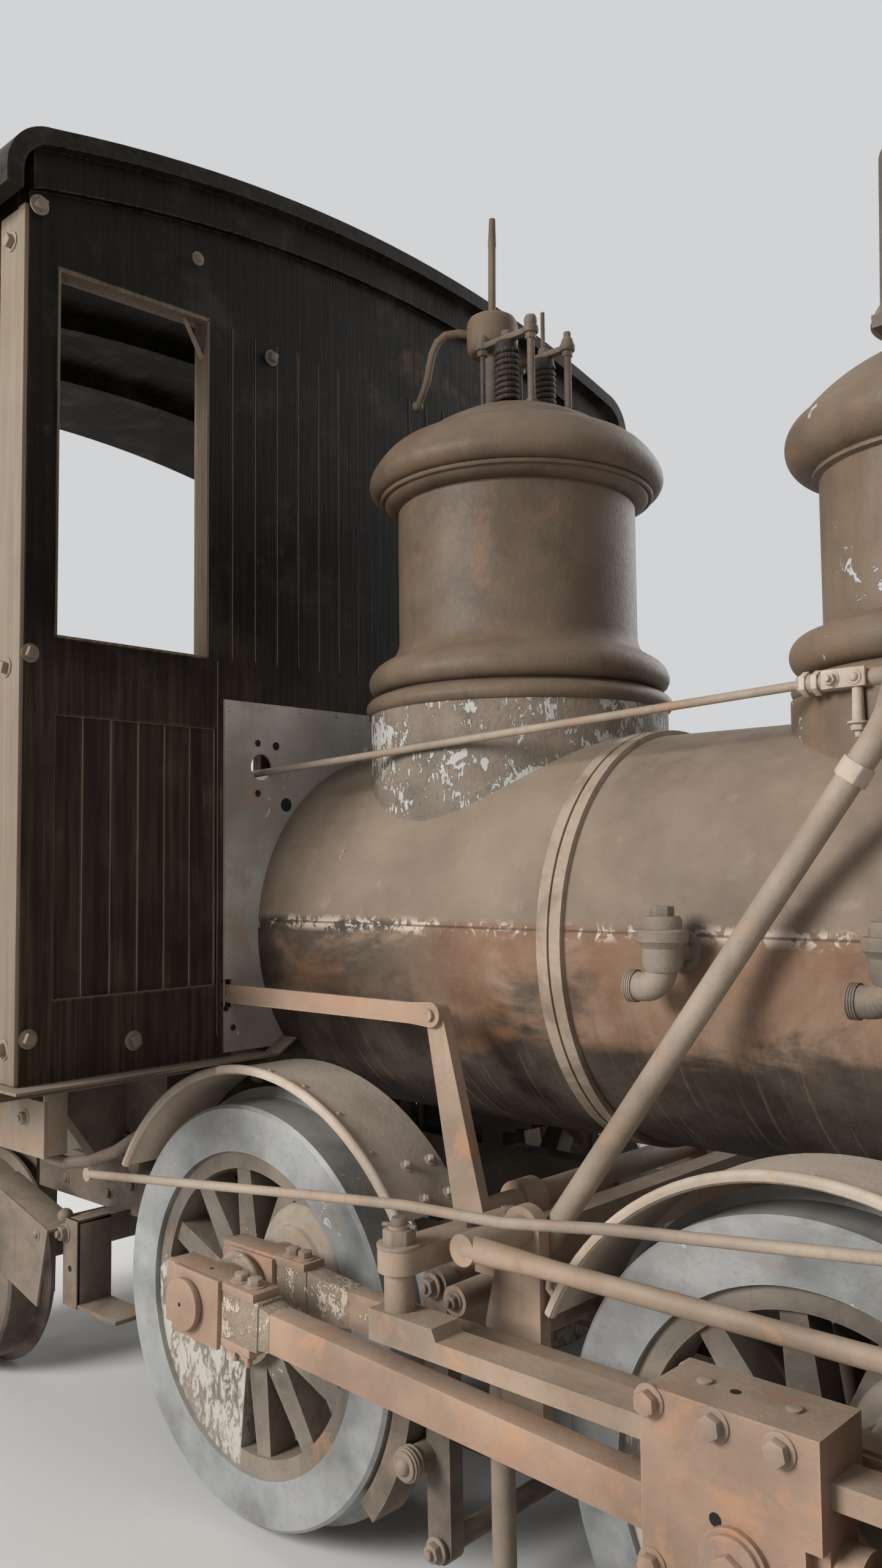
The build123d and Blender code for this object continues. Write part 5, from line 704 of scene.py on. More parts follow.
class Piece:
    """A mesh that grows by bmesh operators and becomes one object of the scene."""

    def __init__(self, name: str) -> None:
        """Starts an empty piece.

        Args:
            name: The object's name.
        """
        self.name = name
        self.work = bmesh.new()

    def rod(self, start: Vector, end: Vector, first: float, last: float | None = None, sides: int = 20,
            bevel: float = 0.0, turn: float = 0.0) -> None:
        """Adds a round or many-sided bar, or a taper, between two points.

        Args:
            start: The middle of its first end.
            end: The middle of its last end.
            first: The radius at the first end.
            last: The radius at the last end, or None for the same.
            sides: How many sides it has.
            bevel: The width of the bevel on its edges.
            turn: How far it is turned about its own line, in radians.
        """
        start, end = Vector(start), Vector(end)
        way = (end - start).to_track_quat("Z", "Y").to_matrix().to_4x4()
        made = bmesh.ops.create_cone(
            self.work, cap_ends=True, segments=sides, radius1=first, radius2=first if last is None else last,
            depth=(end - start).length,
            matrix=Matrix.Translation((start + end) / 2) @ way @ Matrix.Rotation(turn, 4, "Z"),
        )
        self.soften(made["verts"], bevel)

    def block(self, low: Vector, high: Vector, bevel: float = 0.003, place: Matrix | None = None,
              far: tuple[float, float] | None = None) -> None:
        """Adds a block between two corners, with bevelled edges.

        Args:
            low: The lowest corner.
            high: The highest corner.
            bevel: The width of the bevel.
            place: A turn and shift given to the block, or None.
            far: The lower and upper height at the end with the highest X, or None for the same.
        """
        low, high = Vector(low), Vector(high)
        middle, size = (low + high) / 2, Matrix.Diagonal((*(high - low), 1.0))
        verts = bmesh.ops.create_cube(self.work, size=1.0, matrix=Matrix.Translation(middle) @ size)["verts"]
        for vert in verts:
            if far and vert.co.x > middle.x:
                vert.co.z = far[1] if vert.co.z > middle.z else far[0]
        if place:
            bmesh.ops.transform(self.work, matrix=place, verts=verts)
        self.soften(verts, bevel)

    def soften(self, verts: list[bmesh.types.BMVert], width: float) -> None:
        """Bevels all the sharp edges between the given vertices."""
        if width:
            edges = list({edge for vert in verts for edge in vert.link_edges if len(edge.link_faces) == 2
                          and edge.calc_face_angle(0.0) > 0.6})
            bmesh.ops.bevel(self.work, geom=edges, offset=width, offset_type="OFFSET", segments=2,
                            profile=0.5, affect="EDGES", clamp_overlap=True, material=-1)

    def lathe(self, foot: Vector, profile: tuple[tuple[float, float], ...], axis: Vector = UP,
              steps: int = 40) -> None:
        """Adds a turned shape.

        Args:
            foot: Where the turning line starts.
            profile: Pairs of radius and distance along the line.
            axis: Which way the line runs.
            steps: How many steps there are in the turn.
        """
        for vert in self.work.verts:
            vert.tag = True
        verts = [self.work.verts.new((radius, 0.0, along)) for radius, along in profile]
        edges = [self.work.edges.new(pair) for pair in zip(verts, verts[1:])]
        bmesh.ops.spin(self.work, geom=verts + edges, cent=(0, 0, 0), axis=UP, angle=math.tau, steps=steps,
                       use_merge=True)
        turned = [vert for vert in self.work.verts if not vert.tag]
        bmesh.ops.remove_doubles(self.work, verts=turned, dist=1e-6)
        turned = [vert for vert in self.work.verts if not vert.tag]
        place = Matrix.Translation(foot) @ Vector(axis).to_track_quat("Z", "Y").to_matrix().to_4x4()
        bmesh.ops.transform(self.work, matrix=place, verts=turned)

    def pipe(self, path: list[Vector], radius: float, sides: int = 12, ends: float | None = None) -> None:
        """Adds a round bar that follows a path.

        Args:
            path: The points that its middle follows.
            radius: Its radius at the start.
            sides: How many sides it has.
            ends: Its radius at the end, or None for the same.
        """
        path = [Vector(point) for point in path]
        last = len(path) - 1
        taper = 1.0 if ends is None else (ends / radius) ** (1.0 / last)

        def way(i: int) -> Vector:
            """Returns which way the path runs at a point."""
            return (path[min(i + 1, last)] - path[max(i - 1, 0)]).normalized()

        turn = way(0).to_track_quat("Z", "Y").to_matrix().to_4x4()
        ring = bmesh.ops.create_circle(self.work, cap_ends=True, segments=sides, radius=radius,
                                       matrix=Matrix.Translation(path[0]) @ turn)["verts"]
        face = ring[0].link_faces[0]
        for i in range(1, last + 1):
            moved = bmesh.ops.extrude_face_region(self.work, geom=[face], use_keep_orig=i == 1)["geom"]
            ring = [item for item in moved if isinstance(item, bmesh.types.BMVert)]
            face = next(item for item in moved if isinstance(item, bmesh.types.BMFace))
            swing = way(i - 1).rotation_difference(way(i)).to_matrix().to_4x4()
            step = Matrix.Translation(path[i]) @ swing @ Matrix.Scale(taper, 4)
            step = step @ Matrix.Translation(-path[i - 1])
            bmesh.ops.transform(self.work, matrix=step, verts=ring)

    def ball(self, centre: Vector, radius: float) -> None:
        """Adds a round ball."""
        bmesh.ops.create_icosphere(self.work, subdivisions=3, radius=radius,
                                   matrix=Matrix.Translation(centre))

    def bolt(self, place: Vector, axis: Vector, size: float = 0.014, head: Head = Head.HEX, stub: float = 0.0,
             turn: float = 0.3) -> None:
        """Adds a bolt head or nut on its washer.

        Args:
            place: Where it meets the surface.
            axis: Which way it stands out.
            size: The radius of the head.
            head: The kind of head.
            stub: How far the threaded end stands out of it.
            turn: How far it is turned, in radians.
        """
        place, axis = Vector(place), Vector(axis).normalized()
        self.rod(place - axis * 0.002, place + axis * size * 0.18, size * 1.35, sides=20, bevel=size * 0.06)
        top = place + axis * size * (0.75 if head is Head.ROUND else 1.0)
        if head is Head.ROUND:
            self.rod(place, top, size, size * 0.55, sides=head.value, bevel=size * 0.3)
        else:
            self.rod(place, top, size, sides=head.value, bevel=size * 0.10, turn=turn)
        if stub:
            self.rod(top, top + axis * stub, size * 0.5, size * 0.46, sides=14, bevel=size * 0.08)

    def done(self, finish: Finish, body: str = "engine", smooth: float = 0.6) -> bpy.types.Object:
        """Makes the object, gives it its finish and lets it ride on its body.

        Args:
            finish: What it is painted with.
            body: The body that it moves with.
            smooth: The angle up to which neighbouring faces look smooth, in radians.

        Returns:
            The new object.
        """
        mesh = bpy.data.meshes.new(self.name)
        bmesh.ops.recalc_face_normals(self.work, faces=self.work.faces)
        for face in self.work.faces:
            face.smooth = True
        for edge in self.work.edges:
            edge.smooth = len(edge.link_faces) == 2 and edge.calc_face_angle(0.0) < smooth
        self.work.to_mesh(mesh)
        self.work.free()
        mesh.materials.append(Finishes.of(finish))
        piece = stand(self.name, mesh)
        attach(piece, body)
        LOG.info("%s: %d faces on %s", self.name, len(mesh.polygons), body)
        return piece


@dataclass
class SteamDome:
    """The steam dome's turned shell, with its base ring, its rim and the flange that carries the valves."""

    middle: float = -0.26
    foot: tuple[tuple[float, float], ...] = (
        (0.300, 1.940), (0.377, 1.940), (0.386, 1.944), (0.3915, 1.952), (0.393, 1.961), (0.3895, 1.971),
        (0.382, 1.979), (0.372, 1.985), (0.360, 1.988), (0.352, 1.989), (0.352, 1.994), (0.362, 1.995),
        (0.372, 1.999), (0.380, 2.006), (0.385, 2.017), (0.3855, 2.029), (0.382, 2.041), (0.375, 2.053),
        (0.366, 2.063), (0.352, 2.073), (0.337, 2.082), (0.327, 2.088), (0.320, 2.095), (0.3135, 2.106),
        (0.309, 2.119), (0.307, 2.134),
    )
    rim: tuple[tuple[float, float], ...] = (
        (0.307, 2.4700), (0.3035, 2.4715), (0.3035, 2.4765), (0.3105, 2.4775), (0.318, 2.4785),
        (0.328, 2.4820), (0.337, 2.4885), (0.3415, 2.4945), (0.3425, 2.4990), (0.347, 2.4965),
        (0.352, 2.4980), (0.3545, 2.5025), (0.3530, 2.5070), (0.3495, 2.5095), (0.355, 2.5085),
        (0.364, 2.5115), (0.373, 2.5195), (0.379, 2.5300), (0.3815, 2.5410), (0.380, 2.5530),
        (0.376, 2.5640), (0.370, 2.5750), (0.361, 2.5890), (0.350, 2.6030), (0.337, 2.6170),
        (0.322, 2.6290), (0.306, 2.6375), (0.290, 2.6450), (0.274, 2.6520), (0.2585, 2.6585),
        (0.2500, 2.6620), (0.2465, 2.6650), (0.241, 2.6710), (0.233, 2.6780), (0.222, 2.6860),
        (0.208, 2.6940), (0.194, 2.7000), (0.183, 2.7030), (0.1765, 2.7040), (0.1745, 2.7060),
        (0.1725, 2.7100), (0.1690, 2.7140), (0.1640, 2.7155), (0.150, 2.7160), (0.0, 2.7160),
    )

    def build(self) -> None:
        """Turns the dome."""
        piece = Piece("steam_dome_shell")
        piece.lathe((self.middle, 0, 0), self.foot + self.rim, steps=96)
        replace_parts(piece.done(DOME, smooth=0.75), "steam_dome")


@dataclass
class Valves:
    """The two spring valves with their yokes, and the cup with its spindle and lever."""

    middle: float = -0.222
    apart: float = 0.077
    reach: float = 0.080
    deck: float = 2.716
    under: float = 2.900
    thick: float = 0.017
    coil: float = 0.0260
    wire: float = 0.0070
    turns: int = 9
    studs: tuple[float, float] = (0.0068, 0.0098)
    cup: float = -0.333
    cup_side: tuple[tuple[float, float], ...] = (
        (0.0, 2.918), (0.052, 2.920), (0.061, 2.925), (0.066, 2.934), (0.0685, 2.948), (0.0685, 2.998),
        (0.0665, 3.009), (0.0610, 3.018), (0.052, 3.0235), (0.040, 3.0255), (0.0, 3.0265),
    )
    lever: tuple[tuple[float, float, float], ...] = (
        (-0.378, -0.020, 2.984), (-0.408, -0.056, 2.987), (-0.428, -0.082, 2.980), (-0.442, -0.098, 2.960),
        (-0.452, -0.108, 2.930), (-0.458, -0.113, 2.895), (-0.463, -0.118, 2.856), (-0.474, -0.122, 2.824),
        (-0.488, -0.124, 2.798),
    )
    lever_ball: tuple[float, float, float] = (-0.493, -0.124, 2.791)

    def build(self) -> None:
        """Builds both valves, the nuts, the cup and the lever."""
        yokes = Piece("valve_frame")
        for side in SIDES:
            self.spring(side)
            self.yoke(yokes, side)
        x, foot = self.cup, self.deck - 0.002
        yokes.rod((x, 0, foot), (x, 0, 2.920), 0.0235, sides=28)
        yokes.rod((x, 0, foot), (x, 0, self.deck + 0.016), 0.036, sides=6, bevel=0.002)
        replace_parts(yokes.done(VALVE), "safety_valves")
        cup = Piece("whistle_cup")
        cup.lathe((x, 0, 0), self.cup_side, steps=48)
        cup.rod((x, 0, 3.024), (x + 0.003, 0, 3.235), 0.0102, sides=20)
        cup.rod((x + 0.003, 0, 3.220), (x + 0.005, 0, 3.298), 0.0112, 0.0085, sides=20, bevel=0.002)
        cup.rod((x, 0, 3.022), (x, 0, 3.036), 0.018, 0.014, sides=6, bevel=0.001)
        cup.done(CUP, smooth=0.8)
        lever = Piece("trip_lever")
        lever.pipe(self.lever, 0.0115, sides=16, ends=0.0095)
        lever.ball(self.lever_ball, 0.0145)
        lever.done(CUP, smooth=1.0)

    def spring(self, side: Side) -> None:
        """Builds one coil with the cups that hold it."""
        spring = Piece(f"valve_spring_{side.name}")
        y, steps = side.sign * self.apart, 20 * self.turns
        foot, rise = self.deck + 0.020, self.under - self.deck - 0.046
        turn = math.tau * self.turns / steps
        path = [Vector((self.middle + self.coil * math.cos(turn * i), y + self.coil * math.sin(turn * i),
                        foot + rise * i / steps)) for i in range(steps + 1)]
        spring.pipe(path, self.wire, sides=10)
        outer = self.coil + self.wire
        for low, high, first, last in ((self.deck - 0.001, foot, outer + 0.003, outer + 0.003),
                                       (self.under - 0.026, self.under, outer, outer - 0.006)):
            spring.rod((self.middle, y, low), (self.middle, y, high), first, last, sides=32, bevel=0.003)
        spring.done(SPRING)

    def yoke(self, piece: Piece, side: Side) -> None:
        """Builds one valve's studs, nuts, bar and lugs.

        Args:
            piece: What they are added to.
            side: Which valve it is.
        """
        y, middle, under, top = side.sign * self.apart, self.middle, self.under, self.under + self.thick
        ends = (middle - self.reach, middle + self.reach)

        def upright(x: float, low: float, high: float, first: float, last: float | None = None,
                    **how: float) -> None:
            """Adds an upright bar of this valve."""
            piece.rod((x, y, low), (x, y, high), first, last, **how)

        piece.block((ends[0], y - 0.0125, under), (ends[1], y + 0.0125, top), 0.005)
        for x, stud in zip(ends, self.studs):
            upright(x, self.deck - 0.002, under + 0.002, stud, sides=18)
            upright(x, under - 0.015, under + 0.0005, 0.0145, sides=6, bevel=0.001, turn=0.4)
            upright(x, self.deck - 0.002, self.deck + 0.012, 0.0155, sides=6, bevel=0.001, turn=0.7)
            upright(x, under - 0.001, top + 0.002, 0.0200, sides=28, bevel=0.005)
        if side.sign < 0:
            upright(ends[1], top, 2.948, 0.0170, 0.0155, sides=28, bevel=0.010)
            upright(ends[0], top, 2.942, 0.0155, 0.0140, sides=24, bevel=0.009)
        else:
            upright(ends[1], top, 2.937, 0.0185, 0.0120, sides=24, bevel=0.004)
            upright(ends[1], 2.933, 2.952, 0.0100, sides=6, bevel=0.002)
            upright(middle, top, 3.030, 0.0056, sides=14, bevel=0.001)
        upright(middle, top - 0.001, top + 0.012, 0.0140, sides=6, bevel=0.001)


@dataclass(frozen=True)
class RodEnd:
    """The sizes of a rod's strapped end, along and above the rod's own line from its pin."""

    inner: float
    outer: float
    strap: tuple[float, float, float, float]
    thick: float
    cheek: tuple[float, float, float, float]
    plate: float
    root: tuple[float, float, float]
    waist: tuple[float, float, float]
    bolts: tuple[float, float]


@dataclass
class Rods:
    """The main rod and the side rod of one side, with their straps, bolts, plates and pins."""

    side: Side
    crank: float
    rear: tuple[float, float] = (-0.65, 0.508)
    front: tuple[float, float] = (0.784, 0.508)
    throw: float = 0.24
    length: float = 1.288
    wrist_rise: float = 0.605
    main: RodEnd = RodEnd(
        0.805, 0.875, (-0.088, 0.205, -0.058, 0.069), 0.017, (-0.054, 0.103, -0.066, 0.071), 0.009,
        (0.218, -0.040, 0.051), (0.250, -0.034, 0.042), (0.125, 0.168),
    )
    coupling: RodEnd = RodEnd(
        0.660, 0.719, (-0.095, 0.180, -0.066, 0.077), 0.017, (-0.062, 0.088, -0.060, 0.071), 0.010,
        (0.185, -0.046, 0.062), (0.310, -0.024, 0.050), (0.112, 0.150),
    )
    boss: tuple[tuple[float, float], ...] = (
        (0.0, 0.520), (0.139, 0.520), (0.139, 0.556), (0.136, 0.568), (0.129, 0.578), (0.119, 0.5855),
        (0.108, 0.589), (0.1015, 0.5905), (0.0990, 0.5925), (0.0975, 0.6000), (0.0950, 0.6050),
        (0.0900, 0.6080), (0.070, 0.6095), (0.0, 0.6095),
    )
    collar: tuple[tuple[float, float], ...] = (
        (0.0, 0.7400), (0.060, 0.7400), (0.071, 0.7415), (0.0745, 0.7450), (0.0750, 0.7510),
        (0.0725, 0.7555), (0.0660, 0.7575), (0.0, 0.7575),
    )

    def pin(self, axle: tuple[float, float]) -> tuple[float, float]:
        """Returns the X and Z of a crank's pin at rest."""
        turn = math.radians(self.crank)
        return axle[0] + self.throw * math.cos(turn), axle[1] + self.throw * math.sin(turn)

    def parts(self, rod: str) -> list[Piece]:
        """Starts the strap, the root, the blade and the bolts of one rod."""
        return [Piece(f"{rod}_{part}_{self.side.name}") for part in ("strap", "root", "blade", "bolts")]

    def across(self, first: float, last: float) -> tuple[float, float]:
        """Returns two distances from the middle line as lower and higher Y on this side."""
        return tuple(sorted((self.side.sign * first, self.side.sign * last)))

    def build(self) -> None:
        """Builds both rods and the pins."""
        self.main_rod()
        self.side_rod()
        self.bosses()

    def end(self, strap: Piece, root: Piece, bolts: Piece, shape: RodEnd, place: Matrix) -> None:
        """Builds one strapped end, its root, its cheek plate and its bolts.

        Args:
            strap: Takes the strap and the plate.
            root: Takes the root and the neck.
            bolts: Takes the bolts.
            shape: The sizes.
            place: From the rod's own line to the engine.
        """
        y0, y1 = self.across(shape.inner, shape.outer)
        x0, x1, z0, z1 = shape.strap
        floor, roof, set_in = z0 + shape.thick, z1 - shape.thick, 0.0004
        strap.block((x0, y0, roof), (x1, y1, z1), 0.0022, place)
        strap.block((x0, y0, z0), (x1 - 0.008, y1, floor), 0.0022, place)
        inset = (x0 + set_in, y0 + set_in, floor - 0.0015), (x0 + 0.022, y1 - set_in, roof + 0.0015)
        strap.block(*inset, 0.0, place)
        x2, x3, z2, z3 = shape.cheek
        face = self.across(shape.outer - 0.002, shape.outer + shape.plate)
        strap.block((x2, face[0], z2), (x3, face[1], z3), 0.0018, place)
        x4, z4, z5 = shape.root
        side = self.across(shape.inner + 0.0015, shape.outer - 0.0015)
        root.block((x0 + 0.018, side[0], floor - 0.002), (x4, side[1], roof + 0.002), 0.003, place)
        x5, *waist = shape.waist
        neck = self.across(shape.inner + 0.004, shape.outer - 0.005)
        root.block((x4 - 0.012, neck[0], z4), (x5, neck[1], z5), 0.004, place, waist)
        up = (place.to_3x3() @ UP).normalized()
        for i, along in enumerate(shape.bolts):
            high = place @ self.side.at(along, (shape.inner + shape.outer) / 2, z1)
            bolts.bolt(high, up, 0.0165, turn=0.25 + 0.5 * i)
            low = place @ self.side.at(along - 0.002, shape.outer - 0.024, z0)
            bolts.bolt(low, -up, 0.0165, Head.SQUARE, stub=0.014, turn=0.7 + 0.1 * i)

    def main_rod(self) -> None:
        """Builds the main rod, which rides with its crosshead."""
        x, z = self.pin(self.rear)
        fall = math.asin((self.wrist_rise - z) / self.length)
        place = Matrix.Translation((x, 0.0, z)) @ Matrix.Rotation(-fall, 4, "Y")
        body = f"crosshead_{self.side.name}"
        strap, root, blade, bolts = self.parts("main_rod")
        self.end(strap, root, bolts, self.main, place)
        start, low, high = self.main.waist
        bar = self.across(0.8115, 0.8680)
        blade.block((start - 0.006, bar[0], low), (self.length, bar[1], high), 0.0035, place, (-0.034, 0.034))
        wrist = [place @ self.side.at(self.length, y, 0.0) for y in (0.814, 0.866)]
        blade.rod(*wrist, 0.046, sides=40, bevel=0.002)
        disc = [place @ self.side.at(0.0, y, 0.003) for y in (0.758, 0.806, 0.882, 0.8875, 0.901)]
        strap.rod(*disc[2:4], 0.049, sides=48)
        strap.rod(*disc[3:5], 0.0525, sides=48, bevel=0.0016)
        strap.rod(*disc[0:2], 0.050, sides=40, bevel=0.002)
        strap.done(ROD, body)
        root.done(CHIPPED, body)
        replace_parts(blade.done(ROD, body), f"main_rod_{self.side.name}")
        bolts.done(ROD_BOLT, body)
        # Painted shade: dark discs stand for the inside of two small holes in the rod.
        holes = Piece(f"main_rod_holes_{self.side.name}")
        for start, end in (((-0.004, 0.9005, 0.002), (-0.004, 0.9017, 0.002)),
                           ((0.025, 0.842, 0.0688), (0.025, 0.842, 0.0696))):
            holes.rod(place @ self.side.at(*start), place @ self.side.at(*end), 0.0042, sides=16)
        holes.done(HOLE_SHADE, body)

    def side_rod(self) -> None:
        """Builds the side rod between both crankpins."""
        body = f"side_rod_{self.side.name}"
        strap, root, blade, bolts = self.parts("side_rod")
        base = self.front[0] - self.rear[0]
        x, z = self.pin(self.rear)
        rear = Matrix.Translation((x, 0.0, z))
        front = Matrix.Translation((x + base, 0.0, z)) @ Matrix.Diagonal((-1.0, 1.0, 1.0, 1.0))
        for place in (rear, front):
            self.end(strap, root, bolts, self.coupling, place)
            for faces in ((0.735, 0.729), (0.664, 0.655)):
                disc = [place @ self.side.at(0, y, 0) for y in faces]
                strap.rod(*disc, 0.064, sides=48, bevel=0.0015)
        start, low, high = self.coupling.waist
        bar = self.across(0.6665, 0.7125)
        blade.block((start - 0.006, bar[0], low), (base - start + 0.006, bar[1], high), 0.0035, rear)
        strap.done(ROD, body)
        root.done(CHIPPED, body)
        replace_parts(blade.done(FLAKED_ROD, body), f"side_rod_{self.side.name}")
        bolts.done(ROD_BOLT, body)

    def bosses(self) -> None:
        """Builds the crankpins' bosses and collars on both wheels."""
        for axle, body in ((self.rear, "rear_axle"), (self.front, "front_axle")):
            x, z = self.pin(axle)
            boss = Piece(f"crank_boss_{body}_{self.side.name}")
            boss.lathe((x, 0, z), self.boss, self.side.out, steps=64)
            boss.done(BOSS, body, smooth=0.8)
        x, z = self.pin(self.rear)
        collar = Piece(f"crankpin_collar_{self.side.name}")
        collar.lathe((x, 0, z), self.collar, self.side.out, steps=56)
        collar.done(BOSS, "rear_axle", smooth=0.8)


@dataclass
class Crosshead:
    """The bolts of one crosshead, and dark discs that paint the shade inside its oil holes."""

    side: Side
    wrist: float
    face: float = 0.904
    middle: float = 0.840
    rise: float = 0.605
    upper: tuple[tuple[float, float], ...] = ((-0.134, 0.787), (-0.029, 0.784), (0.070, 0.780))
    lower: tuple[tuple[float, float], ...] = ((-0.134, 0.560), (0.070, 0.560))
    plugs: tuple[float, float] = (-0.08, 0.06)
    hole: float = -0.030

    def build(self) -> None:
        """Builds the bolts on the outer plate, the nut of the pin, and dark discs that paint the shade in the
        oil holes.
        """
        at, out, body = self.side.at, self.side.out, f"crosshead_{self.side.name}"
        piece = Piece(f"crosshead_bolts_{self.side.name}")
        for along, z in self.upper:
            piece.bolt(at(self.wrist + along, self.face, z), out, 0.0185, turn=0.15 + along)
        for along, z in self.lower:
            piece.bolt(at(self.wrist + along, self.face, z), out, 0.0175, turn=0.5)
        pin = at(self.wrist, self.face, self.rise)
        for depth, radius, sides in ((0.018, 0.046, 36), (0.030, 0.026, 6)):
            piece.rod(pin, pin + out * depth, radius, sides=sides, bevel=0.003)
        for along in self.plugs:
            foot = at(self.wrist + along, self.middle, 0.8075)
            piece.rod(foot, foot + UP * 0.0045, 0.012, sides=18, bevel=0.001)
        piece.done(ROD_BOLT, body)
        # Painted shade: dark discs in the oil holes.
        holes = Piece(f"crosshead_holes_{self.side.name}")
        x = self.wrist + self.hole
        holes.rod(at(x, self.face - 0.001, 0.657), at(x, self.face + 0.0006, 0.657), 0.0095, sides=24)
        holes.rod(at(x, self.middle, 0.807), at(x, self.middle, 0.8086), 0.008, sides=20)
        holes.done(HOLE_SHADE, body)


@dataclass
class Guide:
    """The nuts that hold one crosshead guide to its post and arm."""

    side: Side
    post: float = 0.125
    out: float = 0.840
    top: float = 0.878

    def build(self) -> None:
        """Builds the post's nut and split pin, and the bolts of the arm."""
        at, y = self.side.at, self.side.sign * self.out
        piece = Piece(f"guide_nuts_{self.side.name}")
        piece.bolt((self.post, y, self.top), UP, 0.031, stub=0.020, turn=0.2)
        piece.pipe([(self.post + 0.030 * way, y + 0.012 * way, self.top + rise)
                    for way, rise in ((-1, 0.035), (0, 0.036), (1, 0.034))], 0.0045)
        piece.bolt(at(self.post + 0.022, 0.675, self.top), UP, 0.020, Head.SQUARE, turn=0.5)
        piece.bolt(at(self.post + 0.040, 0.575, self.top), UP, 0.020, Head.SQUARE, turn=0.2)
        piece.bolt(at(0.04, 0.601, 0.697), self.side.out, 0.015, stub=0.01)
        piece.done(FRAME_BOLT)


@dataclass
class CabDetails:
    """The bolts, boards and window linings of the cab."""

    front: float = -0.75
    side: float = 1.112
    sill: float = 2.08
    head: float = 2.936
    window: tuple[float, float] = (0.620, 1.039)
    back: float = -1.852
    front_bolts: tuple[tuple[float, float, float], ...] = (
        (1.098, 3.050, 0.017), (0.667, 3.085, 0.013), (0.417, 2.911, 0.016), (1.098, 2.037, 0.016),
        (1.092, 1.196, 0.016), (0.828, 1.164, 0.017),
    )
    side_bolts: tuple[tuple[float, float], ...] = ((-0.812, 2.010), (-0.800, 1.172), (-0.812, 2.985))
    empty_holes: tuple[tuple[float, float, float], ...] = (
        (0.467, 1.879, 0.009), (0.407, 1.875, 0.011), (0.467, 1.750, 0.009), (0.373, 1.723, 0.018),
        (0.567, 1.214, 0.008), (0.545, 1.165, 0.008),
    )
    gauge: tuple[tuple[float, float], ...] = (
        (0.0, 0.0), (0.070, 0.0), (0.078, 0.006), (0.078, 0.030), (0.070, 0.036), (0.062, 0.030),
        (0.0, 0.030),
    )

    def build(self) -> None:
        """Builds every fitting of the cab."""
        self.bolts()
        self.plate_marks()
        for side in SIDES:
            self.corner_board(side)
            self.window_lining(side)
        self.inside()
        self.grooves()

    def grooves(self) -> None:
        """Lays a thin pale strip along each groove and edge of the front's boards, a painted highlight where
        the edges catch light.
        """
        piece, face = Piece("front_groove_highlights"), self.front
        for side in SIDES:
            for i in range(7):
                y = side.sign * (0.592 + 0.0735 * i)
                width = 0.0016 if 0 < i < 6 else 0.0028
                piece.block((face - 0.0125, y - width, 1.274), (face - 0.0108, y + width, 1.906), 0.0004)
            for z in (1.273, 1.908):
                edge = side.span((face - 0.0125, 0.590, z - 0.002), (face - 0.0095, 1.034, z + 0.002))
                piece.block(*edge, 0.0006)
            for i in range(7):
                y = side.sign * (0.547 - 0.0733 * i) + 0.003
                piece.block((face - 0.0008, y - 0.0008, 2.09), (face + 0.0006, y + 0.0008, 2.948), 0.0003)
            y = side.sign * 0.590
            piece.block((face - 0.0008, y - 0.0012, 1.15), (face + 0.0008, y + 0.0012, 2.078), 0.0004)
        piece.done(GROOVE_HIGHLIGHT)

    def bolts(self) -> None:
        """Sets the bolts that the front wall shows."""
        piece = Piece("cab_bolts")
        for side in SIDES:
            for y, z, size in self.front_bolts:
                head = Head.ROUND if size < 0.016 else Head.SQUARE
                x = self.front + (0.018 if z > 3.0 else 0.0)
                piece.bolt(side.at(x, y, z), AHEAD, size, head, turn=y * 9)
            for x, z in self.side_bolts:
                piece.bolt(side.at(x, self.side + 0.008, z), side.out, 0.017, Head.SQUARE, turn=z)
        piece.done(CAB_BOLT)

    def plate_marks(self) -> None:
        """Paints the shade of the empty holes in the steel plate round the boiler as dark discs, and sets its
        rivets.
        """
        holes, rivets, face = Piece("plate_holes"), Piece("plate_rivets"), self.front + 0.0058
        for y, z, size in self.empty_holes:
            holes.rod((face, -y, z), (face + 0.0008, -y, z), size, sides=20)
        edge = [(0.561, 1.135 + 0.103 * i) for i in range(9)] + [(0.45 - 0.13 * i, 1.972) for i in range(4)]
        for side in SIDES:
            for y, z in edge:
                rivets.bolt(side.at(face, y, z), AHEAD, 0.0055, Head.ROUND)
        rivets.bolt((face, -0.326, 1.668), AHEAD, 0.010, stub=0.012)
        holes.done(HOLE_SHADE)
        rivets.done(PLATE)

    def corner_board(self, side: Side) -> None:
        """Nails the pale board on the front post of a side wall."""
        board, low, high = Piece(f"corner_board_{side.name}"), 1.098, 3.055
        inner, outer, face = self.side, self.side + 0.008, self.front
        board.block(*side.span((-0.866, inner, low), (face - 0.001, outer, high)), 0.003)
        board.block(*side.span((face - 0.030, inner, low), (face + 0.001, outer + 0.004, high)), 0.004)
        board.done(CORNER)

    def window_lining(self, side: Side) -> None:
        """Lines the front window's opening and sets the short brace in its corner."""
        lining = Piece(f"window_lining_{side.name}")
        (near, far), sill, head = self.window, self.sill, self.head
        back, front = self.front - 0.050, self.front + 0.004
        strips = (
            (near, sill, near + 0.007, head + 0.012), (far - 0.005, sill, far, head - 0.004),
            (near, sill, far, sill + 0.006),
        )
        for y0, z0, y1, z1 in strips:
            lining.block(*side.span((back, y0, z0), (front, y1, z1)), 0.0015)
        slope = math.atan2(0.017, far - near)
        place = Matrix.Translation(side.at(0, far, head)) @ Matrix.Rotation(-side.sign * slope, 4, "X")
        lining.block(*side.span((back, near - far, -0.012), (front, 0.0, -0.002)), 0.0015, place)
        lining.done(JAMB)
        brace, x = Piece(f"window_brace_{side.name}"), self.front - 0.020
        top, foot = side.at(x, 0.682, head + 0.006), side.at(x, 0.624, 2.850)
        brace.rod(top, foot, 0.007, 0.009, sides=4, bevel=0.001)
        brace.done(CORNER)

